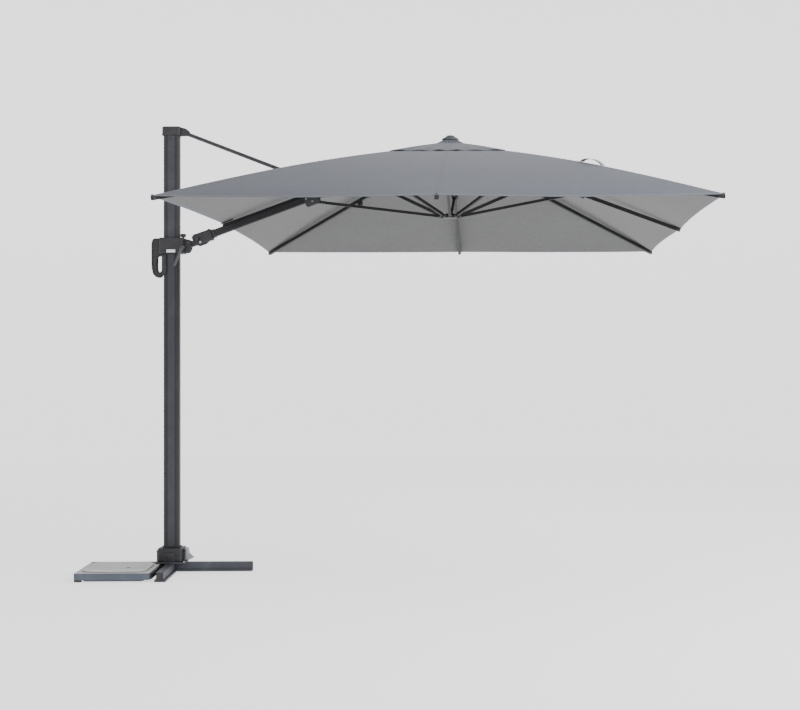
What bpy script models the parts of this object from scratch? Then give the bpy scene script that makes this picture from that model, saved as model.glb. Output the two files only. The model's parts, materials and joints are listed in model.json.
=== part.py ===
"""Cantilever parasol, 3 m by 4 m, on a cross base, open.

Metres, +Z up. The origin is on the mast's axis at the ground, +X runs along the arm to the canopy.
The slider on the mast carries the arm, and a stay rod from the mast's cap carries the arm's middle.
The arm is the eighth rib of the canopy's frame: it folds about the top hub as the other ribs do,
and eight struts tie the ribs and the arm to the lower hub.
"""

import math

import bmesh
import bpy
from mathutils import Matrix, Vector

GAP = 0.0004  # between pieces that touch

# Canopy and frame
TIP_X = 1.5  # from the hub's axis to the end ribs' tips
TIP_Y = 2.0  # from the hub's axis to the side ribs' tips
HUB_X = 1.832
PIVOT_R = 0.06  # the ribs' hinges stand this far from the hub's axis
TIP_Z = 2.234
APEX_Z = 2.80  # where straight lines from the rim would meet
BULGE = 0.037  # the canopy's rise above those lines
FABRIC = 0.0015
FABRIC_REACH = 0.97  # the fabric ends this far along the ribs
VENT_REACH = 0.2
VENT_CAP_REACH = 0.24
VENT_CAP_Z = 2.815
RIB_W, RIB_H, RIB_WALL = 0.020, 0.024, 0.002
STRUT_W, STRUT_H, STRUT_WALL = 0.016, 0.018, 0.002
STRUT_TONGUE_W = 0.0065
STRUT_PIVOT_R = 0.066  # the struts' inner hinges at the lower hub
LOWER_HUB_R = 0.048
LOWER_HUB_T = 0.024
LOWER_HUB_Z = 2.329
FOLDED_RIB = math.radians(76)  # the folded ribs' slope below level

# Mast, slider and arm
MAST_X, MAST_Y, MAST_WALL = 0.104, 0.064, 0.003
MAST_TOP = 2.862
MAST_FOOT = 0.085
CAP_PIVOT = Vector((0.079, 0, 2.883))
ELBOW = Vector((0.112, 0, 2.158))
ARM_START = Vector((0.195, 0, 2.19))  # a point on the arm's axis, in the sleeve
ARM_SLOPE = 0.365
ARM_W, ARM_H, ARM_WALL = 0.040, 0.048, 0.0025
STAY_X = 1.06  # where the stay rod meets the arm
ARM_STRUT_X = 0.92
SLIDE = 1.1  # the slider's travel down the mast
SLIDER_TOP, SLIDER_FOOT = 2.19, 2.086

# Base
BASE_TURN = math.radians(4)  # the base against the mast
BEAM_REACH = 0.525
BEAM_TOP = 0.060
FLANGE_W, FLANGE_T = 0.07, 0.0125
BEAM_W, BEAM_WALL = 0.045, 0.003
PLATE_T = 0.008
COLLAR = 0.184
COLLAR_TOP = 0.158
SLAB_X, SLAB_Y = 0.47, 0.50
SLAB_TOP = 0.0557
SLAB_OFF = 0.041  # from the front beam's side to the slab
LID_TOP = 0.071

ARM_DIR = Vector((1, 0, ARM_SLOPE)).normalized()
ARM_UP = Vector((-ARM_DIR.z, 0, ARM_DIR.x))


def on_arm(x):
    """The point of the arm's axis at this X."""
    return ARM_START + ARM_DIR * ((x - ARM_START.x) / ARM_DIR.x)


HUB_PIVOT = on_arm(HUB_X - PIVOT_R)  # the arm's hinge on the top hub
PIVOT_Z = HUB_PIVOT.z
STAY = on_arm(STAY_X)
ARM_STRUT = on_arm(ARM_STRUT_X) - ARM_UP * (ARM_H / 2 + 0.003)


def folded_arm_angle():
    """How far the arm turns about the elbow while the slider runs its travel, in radians."""
    elbow = ELBOW - Vector((0, 0, SLIDE))
    to_cap = CAP_PIVOT - elbow
    arm = (STAY - ELBOW).length
    rod = (STAY - CAP_PIVOT).length
    between = math.acos((arm**2 + to_cap.length**2 - rod**2) / (2 * arm * to_cap.length))
    at_rest = math.atan2(STAY.z - ELBOW.z, STAY.x - ELBOW.x)
    return math.atan2(to_cap.z, to_cap.x) - between - at_rest


ARM_TURN = folded_arm_angle()


def folded(point):
    """Where the slider's travel takes a point of the arm."""
    turned = Matrix.Rotation(-ARM_TURN, 3, "Y") @ (point - ELBOW)
    return ELBOW + turned - Vector((0, 0, SLIDE))


ROD_TURN = math.atan2(CAP_PIVOT.z - folded(STAY).z, folded(STAY).x - CAP_PIVOT.x) - math.atan2(
    CAP_PIVOT.z - STAY.z, STAY.x - CAP_PIVOT.x
)


def lower_hub_drop():
    """How far the lower hub falls under the top hub as the arm's strut takes it along."""
    inner = Vector((HUB_X - STRUT_PIVOT_R, 0, LOWER_HUB_Z))
    length = (inner - ARM_STRUT).length
    hub = folded(HUB_PIVOT)
    outer = folded(ARM_STRUT)
    across = hub.x + PIVOT_R - STRUT_PIVOT_R - outer.x
    return hub.z - outer.z + math.sqrt(length**2 - across**2) - (HUB_PIVOT.z - LOWER_HUB_Z)


LOWER_HUB_DROP = lower_hub_drop()


class Rib:
    """A rib and its strut: where they lie, and how far each turns as the canopy folds."""

    def __init__(self, name, x, y):
        self.name = name
        tip = Vector((x, y, 0))
        self.out = tip.normalized()
        self.axis = Vector((-self.out.y, self.out.x, 0))
        self.pivot = Vector((HUB_X, 0, PIVOT_Z)) + self.out * PIVOT_R
        self.tip = Vector((HUB_X, 0, TIP_Z)) + tip
        self.dir = (self.tip - self.pivot).normalized()
        slope = math.asin(-self.dir.z)
        self.turn = FOLDED_RIB - slope
        rest = PIVOT_Z - LOWER_HUB_Z
        low = rest + LOWER_HUB_DROP
        inset = STRUT_PIVOT_R - PIVOT_R
        reach = (low**2 - rest**2) / 2
        per_length = low * math.sin(FOLDED_RIB) - rest * math.sin(slope)
        per_length += inset * (math.cos(FOLDED_RIB) - math.cos(slope))
        along = reach / per_length
        self.strut_at = self.pivot + self.dir * along
        self.strut_foot = Vector((HUB_X, 0, LOWER_HUB_Z)) + self.out * STRUT_PIVOT_R
        strut = self.strut_foot - self.strut_at
        before = math.asin(-strut.z / strut.length)
        after = math.asin((low - along * math.sin(FOLDED_RIB)) / strut.length)
        self.strut_turn = -(self.turn + after - before)


RIBS = [
    Rib("near_left", -TIP_X, -TIP_Y),
    Rib("near_middle", 0, -TIP_Y),
    Rib("near_right", TIP_X, -TIP_Y),
    Rib("right_middle", TIP_X, 0),
    Rib("far_right", TIP_X, TIP_Y),
    Rib("far_middle", 0, TIP_Y),
    Rib("far_left", -TIP_X, TIP_Y),
]


def arm_strut_turn():
    """How far the arm's strut turns against the arm, about +Y."""
    foot = Vector((HUB_X - STRUT_PIVOT_R, 0, LOWER_HUB_Z))
    before = math.atan2(ARM_STRUT.z - foot.z, foot.x - ARM_STRUT.x)
    hub = folded(HUB_PIVOT)
    outer = folded(ARM_STRUT)
    low = hub.z - (HUB_PIVOT.z - LOWER_HUB_Z) - LOWER_HUB_DROP
    after = math.atan2(outer.z - low, hub.x + PIVOT_R - STRUT_PIVOT_R - outer.x)
    return after - before + ARM_TURN


ARM_STRUT_TURN = arm_strut_turn()


# ---------------------------------------------------------------- materials


def material(name, colour, roughness, metallic):
    made = bpy.data.materials.new(name)
    made.use_nodes = True
    shader = made.node_tree.nodes["Principled BSDF"]
    shader.inputs["Base Color"].default_value = (*colour, 1)
    shader.inputs["Roughness"].default_value = roughness
    shader.inputs["Metallic"].default_value = metallic
    return made


# ---------------------------------------------------------------- shapes


def add(name, shape, mat, place=None):
    """An object from a bmesh, with flat faces flat and round ones smooth."""
    bmesh.ops.recalc_face_normals(shape, faces=shape.faces)
    mesh = bpy.data.meshes.new(name)
    shape.to_mesh(mesh)
    shape.free()
    mesh.shade_smooth()
    mesh.set_sharp_from_angle(angle=math.radians(35))
    made = bpy.data.objects.new(name, mesh)
    bpy.context.scene.collection.objects.link(made)
    if mat:
        mesh.materials.append(mat)
    if place:
        made.matrix_world = place
    return made


def cutter(name, shape, place=None):
    made = add(name, shape, None, place)
    made.hide_render = True
    made.display_type = "WIRE"
    return made


def change(body, tool, operation="DIFFERENCE"):
    step = body.modifiers.new(tool.name, "BOOLEAN")
    step.operation = operation
    step.object = tool
    return body


def bevel(body, width, segments=1):
    step = body.modifiers.new("Edges", "BEVEL")
    step.width = width
    step.segments = segments
    step.limit_method = "ANGLE"
    step.angle_limit = math.radians(50)
    return body


def rectangle(width, height, radius=0.0, corner_steps=4):
    """A rectangle's outline about the middle, counter-clockwise, with round corners if radius is set."""
    if not radius:
        w, h = width / 2, height / 2
        return [(w, -h), (w, h), (-w, h), (-w, -h)]
    points = []
    for corner, (sx, sy) in enumerate([(1, 1), (-1, 1), (-1, -1), (1, -1)]):
        middle = Vector((sx * (width / 2 - radius), sy * (height / 2 - radius)))
        for step in range(corner_steps + 1):
            angle = math.pi / 2 * (corner + step / corner_steps)
            points.append(tuple(middle + radius * Vector((math.cos(angle), math.sin(angle)))))
    return points


def prism(outline, low, high, hole=None):
    """An outline in X and Y drawn out along Z. A hole has as many points as the outline."""
    shape = bmesh.new()
    rings = []
    for loop in [outline] + ([hole] if hole else []):
        rings.append([[shape.verts.new((x, y, z)) for x, y in loop] for z in (low, high)])
    count = len(outline)
    for ring in rings:
        for i in range(count):
            j = (i + 1) % count
            shape.faces.new((ring[0][i], ring[0][j], ring[1][j], ring[1][i]))
    for end in (0, 1):
        if not hole:
            shape.faces.new(rings[0][end])
            continue
        for i in range(count):
            j = (i + 1) % count
            shape.faces.new((rings[0][end][i], rings[0][end][j], rings[1][end][j], rings[1][end][i]))
    return shape


def turned(profile, segments=24, closed=False):
    """A profile of (radius, z) points turned about Z. A closed one makes a ring."""
    shape = bmesh.new()
    rows = []
    for r, z in profile:
        steps = segments if r else 1
        row = []
        for i in range(steps):
            angle = 2 * math.pi * i / segments
            row.append(shape.verts.new((r * math.cos(angle), r * math.sin(angle), z)))
        rows.append(row)
    for k in range(len(rows) if closed else len(rows) - 1):
        a, b = rows[k], rows[(k + 1) % len(rows)]
        for i in range(segments):
            j = (i + 1) % segments
            corners = [a[i % len(a)], a[j % len(a)], b[j % len(b)], b[i % len(b)]]
            kept = list(dict.fromkeys(corners))
            if len(kept) > 2:
                shape.faces.new(kept)
    return shape


def block(x, y, z):
    """A box between the given pairs of limits."""
    outline = [(x[1], y[0]), (x[1], y[1]), (x[0], y[1]), (x[0], y[0])]
    return prism(outline, *z)


def lying(outline, y):
    """An outline in X and Z drawn out along Y."""
    shape = prism(outline, -y[1], -y[0])
    shape.transform(Matrix.Rotation(math.pi / 2, 4, "X"))
    return shape


def rod_across(radius, y, segments=16):
    """A cylinder along Y."""
    shape = turned([(0, -y[1]), (radius, -y[1]), (radius, -y[0]), (0, -y[0])], segments)
    shape.transform(Matrix.Rotation(math.pi / 2, 4, "X"))
    return shape


def eye_plate(reach, half, y, steps=8):
    """A flat bar in X and Z from the origin, where its end is round, to the given X."""
    side = math.copysign(1, reach)
    outline = [(reach, -side * half), (reach, side * half)]
    for step in range(steps + 1):
        angle = math.pi / 2 + math.pi * step / steps
        outline.append((side * half * math.cos(angle), side * half * math.sin(angle)))
    return lying(outline, y)


def frame_at(origin, along, up=Vector((0, 0, 1))):
    """A matrix with +X along the given direction, +Z on the side of up."""
    x = along.normalized()
    y = up.cross(x).normalized()
    z = x.cross(y)
    made = Matrix((x, y, z)).transposed().to_4x4()
    made.translation = origin
    return made


def tube_along(outline, start, end, hole=None):
    """An outline in Y and Z drawn out along X."""
    shape = prism(outline, start, end, hole)
    turn = Matrix(((0, 0, 1, 0), (1, 0, 0, 0), (0, 1, 0, 0), (0, 0, 0, 1)))
    shape.transform(turn)
    return shape


def at(x, y, z):
    return Matrix.Translation((x, y, z))


# ---------------------------------------------------------------- base


def build_base(mats):
    turn = Matrix.Rotation(BASE_TURN, 4, "Z")
    w, f, b = BEAM_W / 2, FLANGE_W / 2, BEAM_W / 2 - BEAM_WALL
    top, t = BEAM_TOP, FLANGE_T
    outline = [(-f, 0), (f, 0), (f, t), (w, t), (w, top), (-w, top), (-w, t), (-f, t)]
    floor, roof = BEAM_WALL, top - BEAM_WALL
    hole = [(-b, floor), (b, floor), (b, t / 2), (b, t), (b, roof), (-b, roof), (-b, t), (-b, t / 2)]
    butt = f + GAP
    runs = {
        "cross_beam": (0, -BEAM_REACH, BEAM_REACH),
        "front_half_beam": (-math.pi / 2, butt, BEAM_REACH),
        "rear_half_beam": (math.pi / 2, butt, BEAM_REACH),
    }
    for name, (angle, start, end) in runs.items():
        shape = tube_along(outline, start, end, hole)
        add(name, shape, mats["steel"], turn @ Matrix.Rotation(angle, 4, "Z"))
    ends = {"right": 0, "rear": math.pi / 2, "left": math.pi, "front": -math.pi / 2}
    depth, lip = 0.02, 0.004
    for name, angle in ends.items():
        inner = rectangle(2 * b - 2 * GAP, roof - floor - 2 * GAP)
        plug = tube_along(inner, BEAM_REACH - depth, BEAM_REACH + lip)
        made = turn @ Matrix.Rotation(angle, 4, "Z") @ at(0, 0, (roof + floor) / 2)
        add(name + "_beam_plug", plug, mats["plastic"], made)

    plate_low = BEAM_TOP + GAP
    plate_top = plate_low + PLATE_T
    plate = add("centre_plate", prism(rectangle(0.2, 0.2, 0.02), plate_low, plate_top), mats["steel"], turn)
    bevel(plate, 0.001)
    hex_r, head = 0.0085, 0.006
    for i, (sx, sy) in enumerate([(1, 1), (-1, 1), (-1, -1), (1, -1)]):
        low = plate_top + GAP
        bolt = turned([(0, low), (hex_r, low), (hex_r, low + head), (0, low + head)], 6)
        place = turn @ at(sx * 0.089, sy * 0.089, 0)
        add(f"base_bolt_{i + 1}", bolt, mats["zinc"], place)

    low = plate_top + GAP
    inner, clearance = 0.0222, 0.0643
    spigot = [(inner - 0.003, low), (inner, low), (inner, 0.3), (inner - 0.003, 0.3)]
    add("mast_spigot", turned(spigot, 24, closed=True), mats["steel"])
    r = inner + GAP
    ring = [(r, low), (0.05, low), (0.05, MAST_FOOT - GAP), (r, MAST_FOOT - GAP)]
    add("bearing_ring", turned(ring, 32, closed=True), mats["plastic"])
    half = 0.158 / 2
    outline = rectangle(0.158, 0.158, 0.012, 3)
    collar = add("swivel_collar", prism(outline, low, COLLAR_TOP), mats["dark"])
    bore = cutter("collar_bore", turned([(0, 0), (clearance, 0), (clearance, 0.2), (0, 0.2)], 40))
    change(collar, bore)
    face = half + GAP
    for name, side in (("collar_cheek_left", -1), ("collar_cheek_right", 1)):
        reach = COLLAR / 2
        cheek = block(sorted((side * face, side * reach)), (-0.045, 0.045), (low, COLLAR_TOP - 0.012))
        bevel(add(name, cheek, mats["dark"]), 0.002)

    stem = 0.006
    reach = COLLAR / 2 + GAP
    pedal = [
        (reach, 0.085),
        (0.128, 0.078),
        (0.143, 0.088),
        (0.1415, 0.093),
        (0.127, 0.088),
        (reach + stem, 0.094),
        (reach + stem, 0.156),
        (reach, 0.156),
    ]
    add("foot_pedal", lying(pedal, (-0.024, 0.024)), mats["pale"])


def build_ballast(mats):
    turn = Matrix.Rotation(BASE_TURN, 4, "Z")
    ledge = FLANGE_T + 0.001
    inset = 0.045
    middle_x = -BEAM_W / 2 - SLAB_OFF - SLAB_X / 2
    middle_y = -BEAM_W / 2 - 0.003 - SLAB_Y / 2
    place = turn @ at(middle_x, middle_y, 0)
    body = prism(rectangle(SLAB_X, SLAB_Y, 0.02), ledge, SLAB_TOP)
    slab = add("ballast_slab", body, mats["slab"], place)
    pad = rectangle(SLAB_X - 2 * inset, SLAB_Y - 2 * inset, 0.03)
    foot = cutter("slab_foot", prism(pad, 0, ledge + 0.01), place)
    change(slab, foot, "UNION")
    lid = prism(rectangle(SLAB_X - 0.07, SLAB_Y - 0.07, 0.09), SLAB_TOP + GAP, LID_TOP)
    add("ballast_lid", lid, mats["lid"], place)


# ---------------------------------------------------------------- mast and rod


def build_mast(mats):
    outer = rectangle(MAST_X, MAST_Y, 0.014, 4)
    inner = rectangle(MAST_X - 2 * MAST_WALL, MAST_Y - 2 * MAST_WALL, 0.011, 4)
    add("mast_tube", prism(outer, MAST_FOOT, MAST_TOP, inner), mats["mast"])
    low = MAST_TOP + GAP
    cap = add("mast_cap", prism(rectangle(0.122, 0.078, 0.016, 4), low, 2.921), mats["dark"])
    bevel(cap, 0.006, 2)
    x, z, r = CAP_PIVOT.x, CAP_PIVOT.z, 0.016
    ear = [(0.04, z - r - 0.002), (x, z - r), (0.11, z - 0.010), (0.117, z + 0.004), (x + 0.008, z + r)]
    ear += [(0.04, z + r + 0.006)]
    for side in (-1, 1):
        y = sorted((side * 0.0136, side * 0.021))
        change(cap, cutter(f"cap_ear_{side}", lying(ear, y)), "UNION")
    mouth = lying([(0.0615, low - 0.01), (0.13, low - 0.01), (0.13, 2.93), (0.0615, 2.93)], (-0.0136, 0.0136))
    change(cap, cutter("cap_mouth", mouth))
    change(cap, cutter("cap_hole", rod_across(0.0044, (-0.05, 0.05)), at(x, 0, z)))
    add("cap_pin", rod_across(0.004, (-0.026, 0.026)), mats["zinc"], at(x, 0, z))


def build_rod(mats):
    place = frame_at(CAP_PIVOT, STAY - CAP_PIVOT)
    length = (STAY - CAP_PIVOT).length
    cheek = 0.2
    tube_end = length - cheek
    half = 0.0125
    outer = rectangle(0.025, 0.024, 0.006, 3)
    inner = rectangle(0.021, 0.020, 0.004, 3)
    add("stay_rod", tube_along(outer, 0.02, tube_end, inner), mats["frame"], place)
    eye = add("rod_eye", eye_plate(0.019, 0.0118, (-half, half), 12), mats["dark"], place)
    neck = tube_along(rectangle(0.0202, 0.0192, 0.0042, 3), 0.012, 0.045)
    change(eye, cutter("eye_neck", neck, place), "UNION")
    change(eye, cutter("eye_hole", rod_across(0.0044, (-0.03, 0.03)), place))
    neck = tube_along(rectangle(0.0202, 0.0192, 0.0042, 3), tube_end - 0.03, tube_end + 0.012)
    fork = add("rod_fork", neck, mats["dark"], place)
    inside, outside = 0.031, 0.037
    bridge = tube_along(rectangle(2 * outside - 0.001, 0.022), tube_end + 0.001, tube_end + 0.013)
    change(fork, cutter("fork_bridge", bridge, place), "UNION")
    for side in (-1, 1):
        y = sorted((side * inside, side * outside))
        plate = eye_plate(tube_end + 0.003 - length, 0.0104, y)
        change(fork, cutter(f"fork_cheek_{side}", plate, place @ at(length, 0, 0)), "UNION")


# ---------------------------------------------------------------- slider and elbow


def build_slider(mats):
    left, right, deep = -0.078, 0.086, 0.054
    body = block((left, right), (-deep, deep), (SLIDER_FOOT, SLIDER_TOP))
    housing = add("slider_housing", body, mats["dark"])
    bevel(housing, 0.008, 2)
    room = rectangle(MAST_X + 0.003, MAST_Y + 0.003, 0.0155, 4)
    change(housing, cutter("mast_room", prism(room, 2.0, 2.3)))
    x, z, r = ELBOW.x, ELBOW.z, 0.021
    low = SLIDER_FOOT + 0.004
    lug = [(0.07, low), (x + 0.004, low + 0.004), (x + r - 0.004, z - 0.035), (x + r, z - 0.008)]
    lug += [(x + r - 0.003, z + 0.012), (x + 0.010, z + r - 0.001), (0.07, z + 0.028)]
    for side in (-1, 1):
        y = sorted((side * 0.0162, side * 0.025))
        change(housing, cutter(f"lug_{side}", lying(lug, y)), "UNION")
    change(housing, cutter("elbow_hole", rod_across(0.0054, (-0.06, 0.06)), at(x, 0, z)))
    add("elbow_pin", rod_across(0.005, (-0.03, 0.03)), mats["zinc"], at(x, 0, z))

    top = SLIDER_TOP - 0.004
    grip = [(left - GAP, top), (-0.118, top), (-0.132, top - 0.02), (-0.134, 2.06), (-0.130, 1.96)]
    grip += [(-0.121, 1.937), (-0.105, 1.928), (-0.062, 1.934), (-0.05, 1.945), (-0.028, 1.96)]
    grip += [(-0.028, SLIDER_FOOT - 0.004), (left - GAP, SLIDER_FOOT - 0.004)]
    handle = add("slide_handle", lying(grip, (-0.044, 0.044)), mats["dark"])
    slot = [(-0.064, 1.972), (-0.064, 2.066), (-0.072, 2.075), (-0.086, 2.075), (-0.094, 2.066)]
    slot += [(-0.094, 1.972), (-0.086, 1.963), (-0.072, 1.963)]
    change(handle, cutter("finger_slot", lying(slot, (-0.06, 0.06))))
    slim = [(-0.2, 1.9), (-0.064, 1.9), (-0.064, 2.2), (-0.2, 2.2)]
    for side in (-1, 1):
        y = sorted((side * 0.02, side * 0.07))
        change(handle, cutter(f"handle_side_{side}", lying(slim, y)))
    change(handle, cutter("mast_path", prism(rectangle(MAST_X + 0.003, MAST_Y + 0.003, 0.0155, 4), 1.9, 2.3)))

    face = -deep - GAP
    plate = block((-0.04, 0.026), (face - 0.0008, face), (2.094, 2.114))
    add("blank_plate", plate, mats["label"])

    pin = Vector((0.074, 0, 2.124))
    lever_y = -0.0625
    add("lever_pin", rod_across(0.004, (-0.0665, face)), mats["zinc"], at(pin.x, 0, pin.z))
    place = frame_at(Vector((pin.x, lever_y, pin.z)), Vector((-0.047, 0, -0.117)))
    lever = add("lock_lever", tube_along(rectangle(0.006, 0.014), 0.0, 0.122), mats["pale"], place)
    boss = rod_across(0.009, (-0.003, 0.003), 20)
    change(lever, cutter("lever_boss", boss, place), "UNION")
    change(lever, cutter("lever_hole", rod_across(0.0044, (-0.01, 0.01)), place))

    low = SLIDER_TOP + GAP
    knob = [(0, low), (0.008, low), (0.008, low + 0.006), (0.0175, low + 0.008), (0.0175, low + 0.024)]
    knob += [(0.014, low + 0.028), (0, low + 0.028)]
    add("lock_knob", turned(knob, 20), mats["dark"], at(0.0742, 0, 0))


def build_elbow(mats):
    inside = 0.0158
    elbow = add("elbow_knuckle", rod_across(0.019, (-inside, inside), 24), mats["dark"], at(*ELBOW))
    start = on_arm(ELBOW.x)
    place = frame_at(ARM_START, ARM_DIR)
    back = (start - ARM_START).length
    link = block((-back - 0.004, -0.05), (-inside + 0.0006, inside - 0.0006), (-0.034, 0.002))
    change(elbow, cutter("knuckle_link", link, place), "UNION")
    flange = tube_along(rectangle(0.058, 0.062, 0.012, 3), -0.056, -0.048)
    change(elbow, cutter("knuckle_flange", flange, place), "UNION")
    spigot = turned([(0, -0.05), (0.0175, -0.05), (0.0175, 0.07), (0, 0.07)], 24)
    spigot.transform(Matrix.Rotation(math.pi / 2, 4, "Y"))
    change(elbow, cutter("knuckle_spigot", spigot, place), "UNION")
    change(elbow, cutter("knuckle_hole", rod_across(0.0054, (-0.03, 0.03)), at(*ELBOW)))

    outer = rectangle(0.056, 0.070, 0.012, 4)
    sleeve = add("tilt_sleeve", tube_along(outer, -0.0475, 0.076), mats["dark"], place)
    bore = turned([(0, -0.06), (0.0180, -0.06), (0.0180, 0.0745), (0, 0.0745)], 24)
    bore.transform(Matrix.Rotation(math.pi / 2, 4, "Y"))
    change(sleeve, cutter("sleeve_bore", bore, place))
    x = -0.025
    hole = turned([(0, -0.05), (0.0054, -0.05), (0.0054, 0), (0, 0)], 16)
    hole.transform(Matrix.Rotation(-math.pi / 2, 4, "X"))
    change(sleeve, cutter("plunger_hole", hole, place @ at(x, 0, 0)))
    pin = [(0, -0.05), (0.0105, -0.05), (0.0105, -0.036), (0.009, -0.0345), (0.009, -0.0285)]
    pin += [(0.005, -0.0285), (0.005, -0.0185), (0, -0.0185)]
    shape = turned(pin, 16)
    shape.transform(Matrix.Rotation(-math.pi / 2, 4, "X"))
    add("tilt_plunger", shape, mats["zinc"], place @ at(x, 0, 0))


def build_arm(mats):
    place = frame_at(ARM_START, ARM_DIR)
    start = 0.0765
    length = (HUB_PIVOT - ARM_START).length
    outer = rectangle(ARM_W, ARM_H, 0.008, 3)
    inner = rectangle(ARM_W - 2 * ARM_WALL, ARM_H - 2 * ARM_WALL, 0.0055, 3)
    add("arm_tube", tube_along(outer, start, length - 0.055, inner), mats["frame"], place)
    half = 0.0102
    bar = eye_plate(-0.06, 0.012, (-half, half))
    tongue = add("arm_tongue", bar, mats["dark"], place @ at(length, 0, 0))
    plug_y, plug_z = ARM_W / 2 - ARM_WALL - GAP, ARM_H / 2 - ARM_WALL - GAP
    plug = tube_along(rectangle(2 * plug_y, 2 * plug_z, 0.0057, 3), length - 0.11, length - 0.056)
    change(tongue, cutter("tongue_plug", plug, place), "UNION")
    rail_start = (0.345 - ARM_START.x) / ARM_DIR.x
    rail_end = (0.90 - ARM_START.x) / ARM_DIR.x
    low = ARM_H / 2 + GAP
    rail = [(-0.010, low), (0.010, low), (0.010, low + 0.008), (0.005, low + 0.013)]
    rail += [(-0.005, low + 0.013), (-0.010, low + 0.008)]
    add("arm_rail", tube_along(rail, rail_start, rail_end), mats["dark"], place)


# ---------------------------------------------------------------- canopy frame


def strut_shape(name, mat, place, length, gap_half):
    """A strut from its fork, at the origin, to its tongue at the far end along +X."""
    cheek, fork = 0.005, 0.062
    tongue_start = length - 0.018
    inner = rectangle(STRUT_W - 2 * STRUT_WALL, STRUT_H - 2 * STRUT_WALL)
    outer = rectangle(STRUT_W, STRUT_H)
    body = add(name, tube_along(outer, fork, tongue_start, inner), mat, place)
    wide = gap_half + cheek
    edge = wide - 0.0005
    head = block((fork - 0.006, fork + 0.022), (-edge, edge), (-STRUT_H / 2 + 0.0005, STRUT_H / 2 - 0.0005))
    change(body, cutter(name + "_head", head, place), "UNION")
    for side in (-1, 1):
        y = sorted((side * gap_half, side * wide))
        plate = eye_plate(fork, 0.0078, y)
        change(body, cutter(f"{name}_cheek_{side}", plate, place), "UNION")
    tip = block((tongue_start - 0.03, length), (-STRUT_TONGUE_W / 2, STRUT_TONGUE_W / 2), (-0.0078, 0.0078))
    change(body, cutter(name + "_tip", tip, place), "UNION")
    return body


def build_frame(mats):
    axis = at(HUB_X, 0, 0)
    low, high = PIVOT_Z - 0.022, PIVOT_Z + 0.018
    profile = [(0, low), (0.08, low), (0.082, low + 0.006), (0.082, high - 0.008), (0.074, high), (0, high)]
    hub = add("top_hub", turned(profile, 40), mats["dark"], axis)
    slots = [rib.out for rib in RIBS] + [Vector((-1, 0, 0))]
    for i, out in enumerate(slots):
        slot = block((0.0465, 0.12), (-0.0108, 0.0108), (low - 0.02, high + 0.02))
        place = frame_at(Vector((HUB_X, 0, 0)), out)
        change(hub, cutter(f"hub_slot_{i}", slot, place))

    outer = rectangle(RIB_W, RIB_H)
    inner = rectangle(RIB_W - 2 * RIB_WALL, RIB_H - 2 * RIB_WALL)
    half = RIB_W / 2
    for rib in RIBS:
        place = frame_at(rib.pivot, rib.dir)
        length = (rib.tip - rib.pivot).length
        name = "rib_" + rib.name
        body = add(name, tube_along(outer, 0, length, inner), mats["frame"], place)
        plug = eye_plate(0.02, RIB_H / 2 - 0.0006, (-half + 0.0006, half - 0.0006))
        change(body, cutter(name + "_eye", plug, place), "UNION")
        to_foot = rib.strut_foot - rib.strut_at
        strut_place = frame_at(rib.strut_at, to_foot)
        strut_shape("strut_" + rib.name, mats["frame"], strut_place, to_foot.length, half + 0.0008)

    foot = Vector((HUB_X - STRUT_PIVOT_R, 0, LOWER_HUB_Z))
    to_foot = foot - ARM_STRUT
    strut_shape("strut_arm", mats["frame"], frame_at(ARM_STRUT, to_foot), to_foot.length, ARM_W / 2 + 0.0008)

    z = LOWER_HUB_Z
    r, t = LOWER_HUB_R, LOWER_HUB_T / 2
    profile = [(0, z - t), (r - 0.006, z - t), (r, z - t + 0.006)]
    profile += [(r, z + t - 0.004), (r - 0.004, z + t), (0, z + t)]
    add("lower_hub", turned(profile, 32), mats["dark"], axis)


# ---------------------------------------------------------------- canopy


def slope_height(reach):
    straight = APEX_Z - (APEX_Z - TIP_Z - 0.018) * reach
    return straight + BULGE * math.sin(math.pi * reach)


def canopy_shell(rings):
    """A closed skin through rings of points, from the rim inwards."""
    levels = [(ring, 0) for ring in rings]
    levels += [(ring, FABRIC) for ring in reversed(rings)]
    shape = bmesh.new()
    rows = []
    for ring, drop in levels:
        rows.append([shape.verts.new((p.x, p.y, p.z - drop)) for p in ring])
    count = len(rings[0])
    for k, a in enumerate(rows):
        b = rows[(k + 1) % len(rows)]
        for i in range(count):
            j = (i + 1) % count
            shape.faces.new((a[i], a[j], b[j], b[i]))
    bmesh.ops.triangulate(shape, faces=shape.faces)
    return shape


def ring_at(reach):
    """The canopy's outline at a share of the way to the rib tips, a point on each rib and on the arm."""
    points = []
    for sx, sy in ((-1, -1), (0, -1), (1, -1), (1, 0), (1, 1), (0, 1), (-1, 1), (-1, 0)):
        over_arm = (sx, sy) == (-1, 0) and reach > VENT_REACH
        lift = 0.055 * (reach - VENT_REACH) if over_arm else 0
        x = HUB_X + sx * TIP_X * reach
        points.append(Vector((x, sy * TIP_Y * reach, slope_height(reach) + lift)))
    return points


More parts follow.
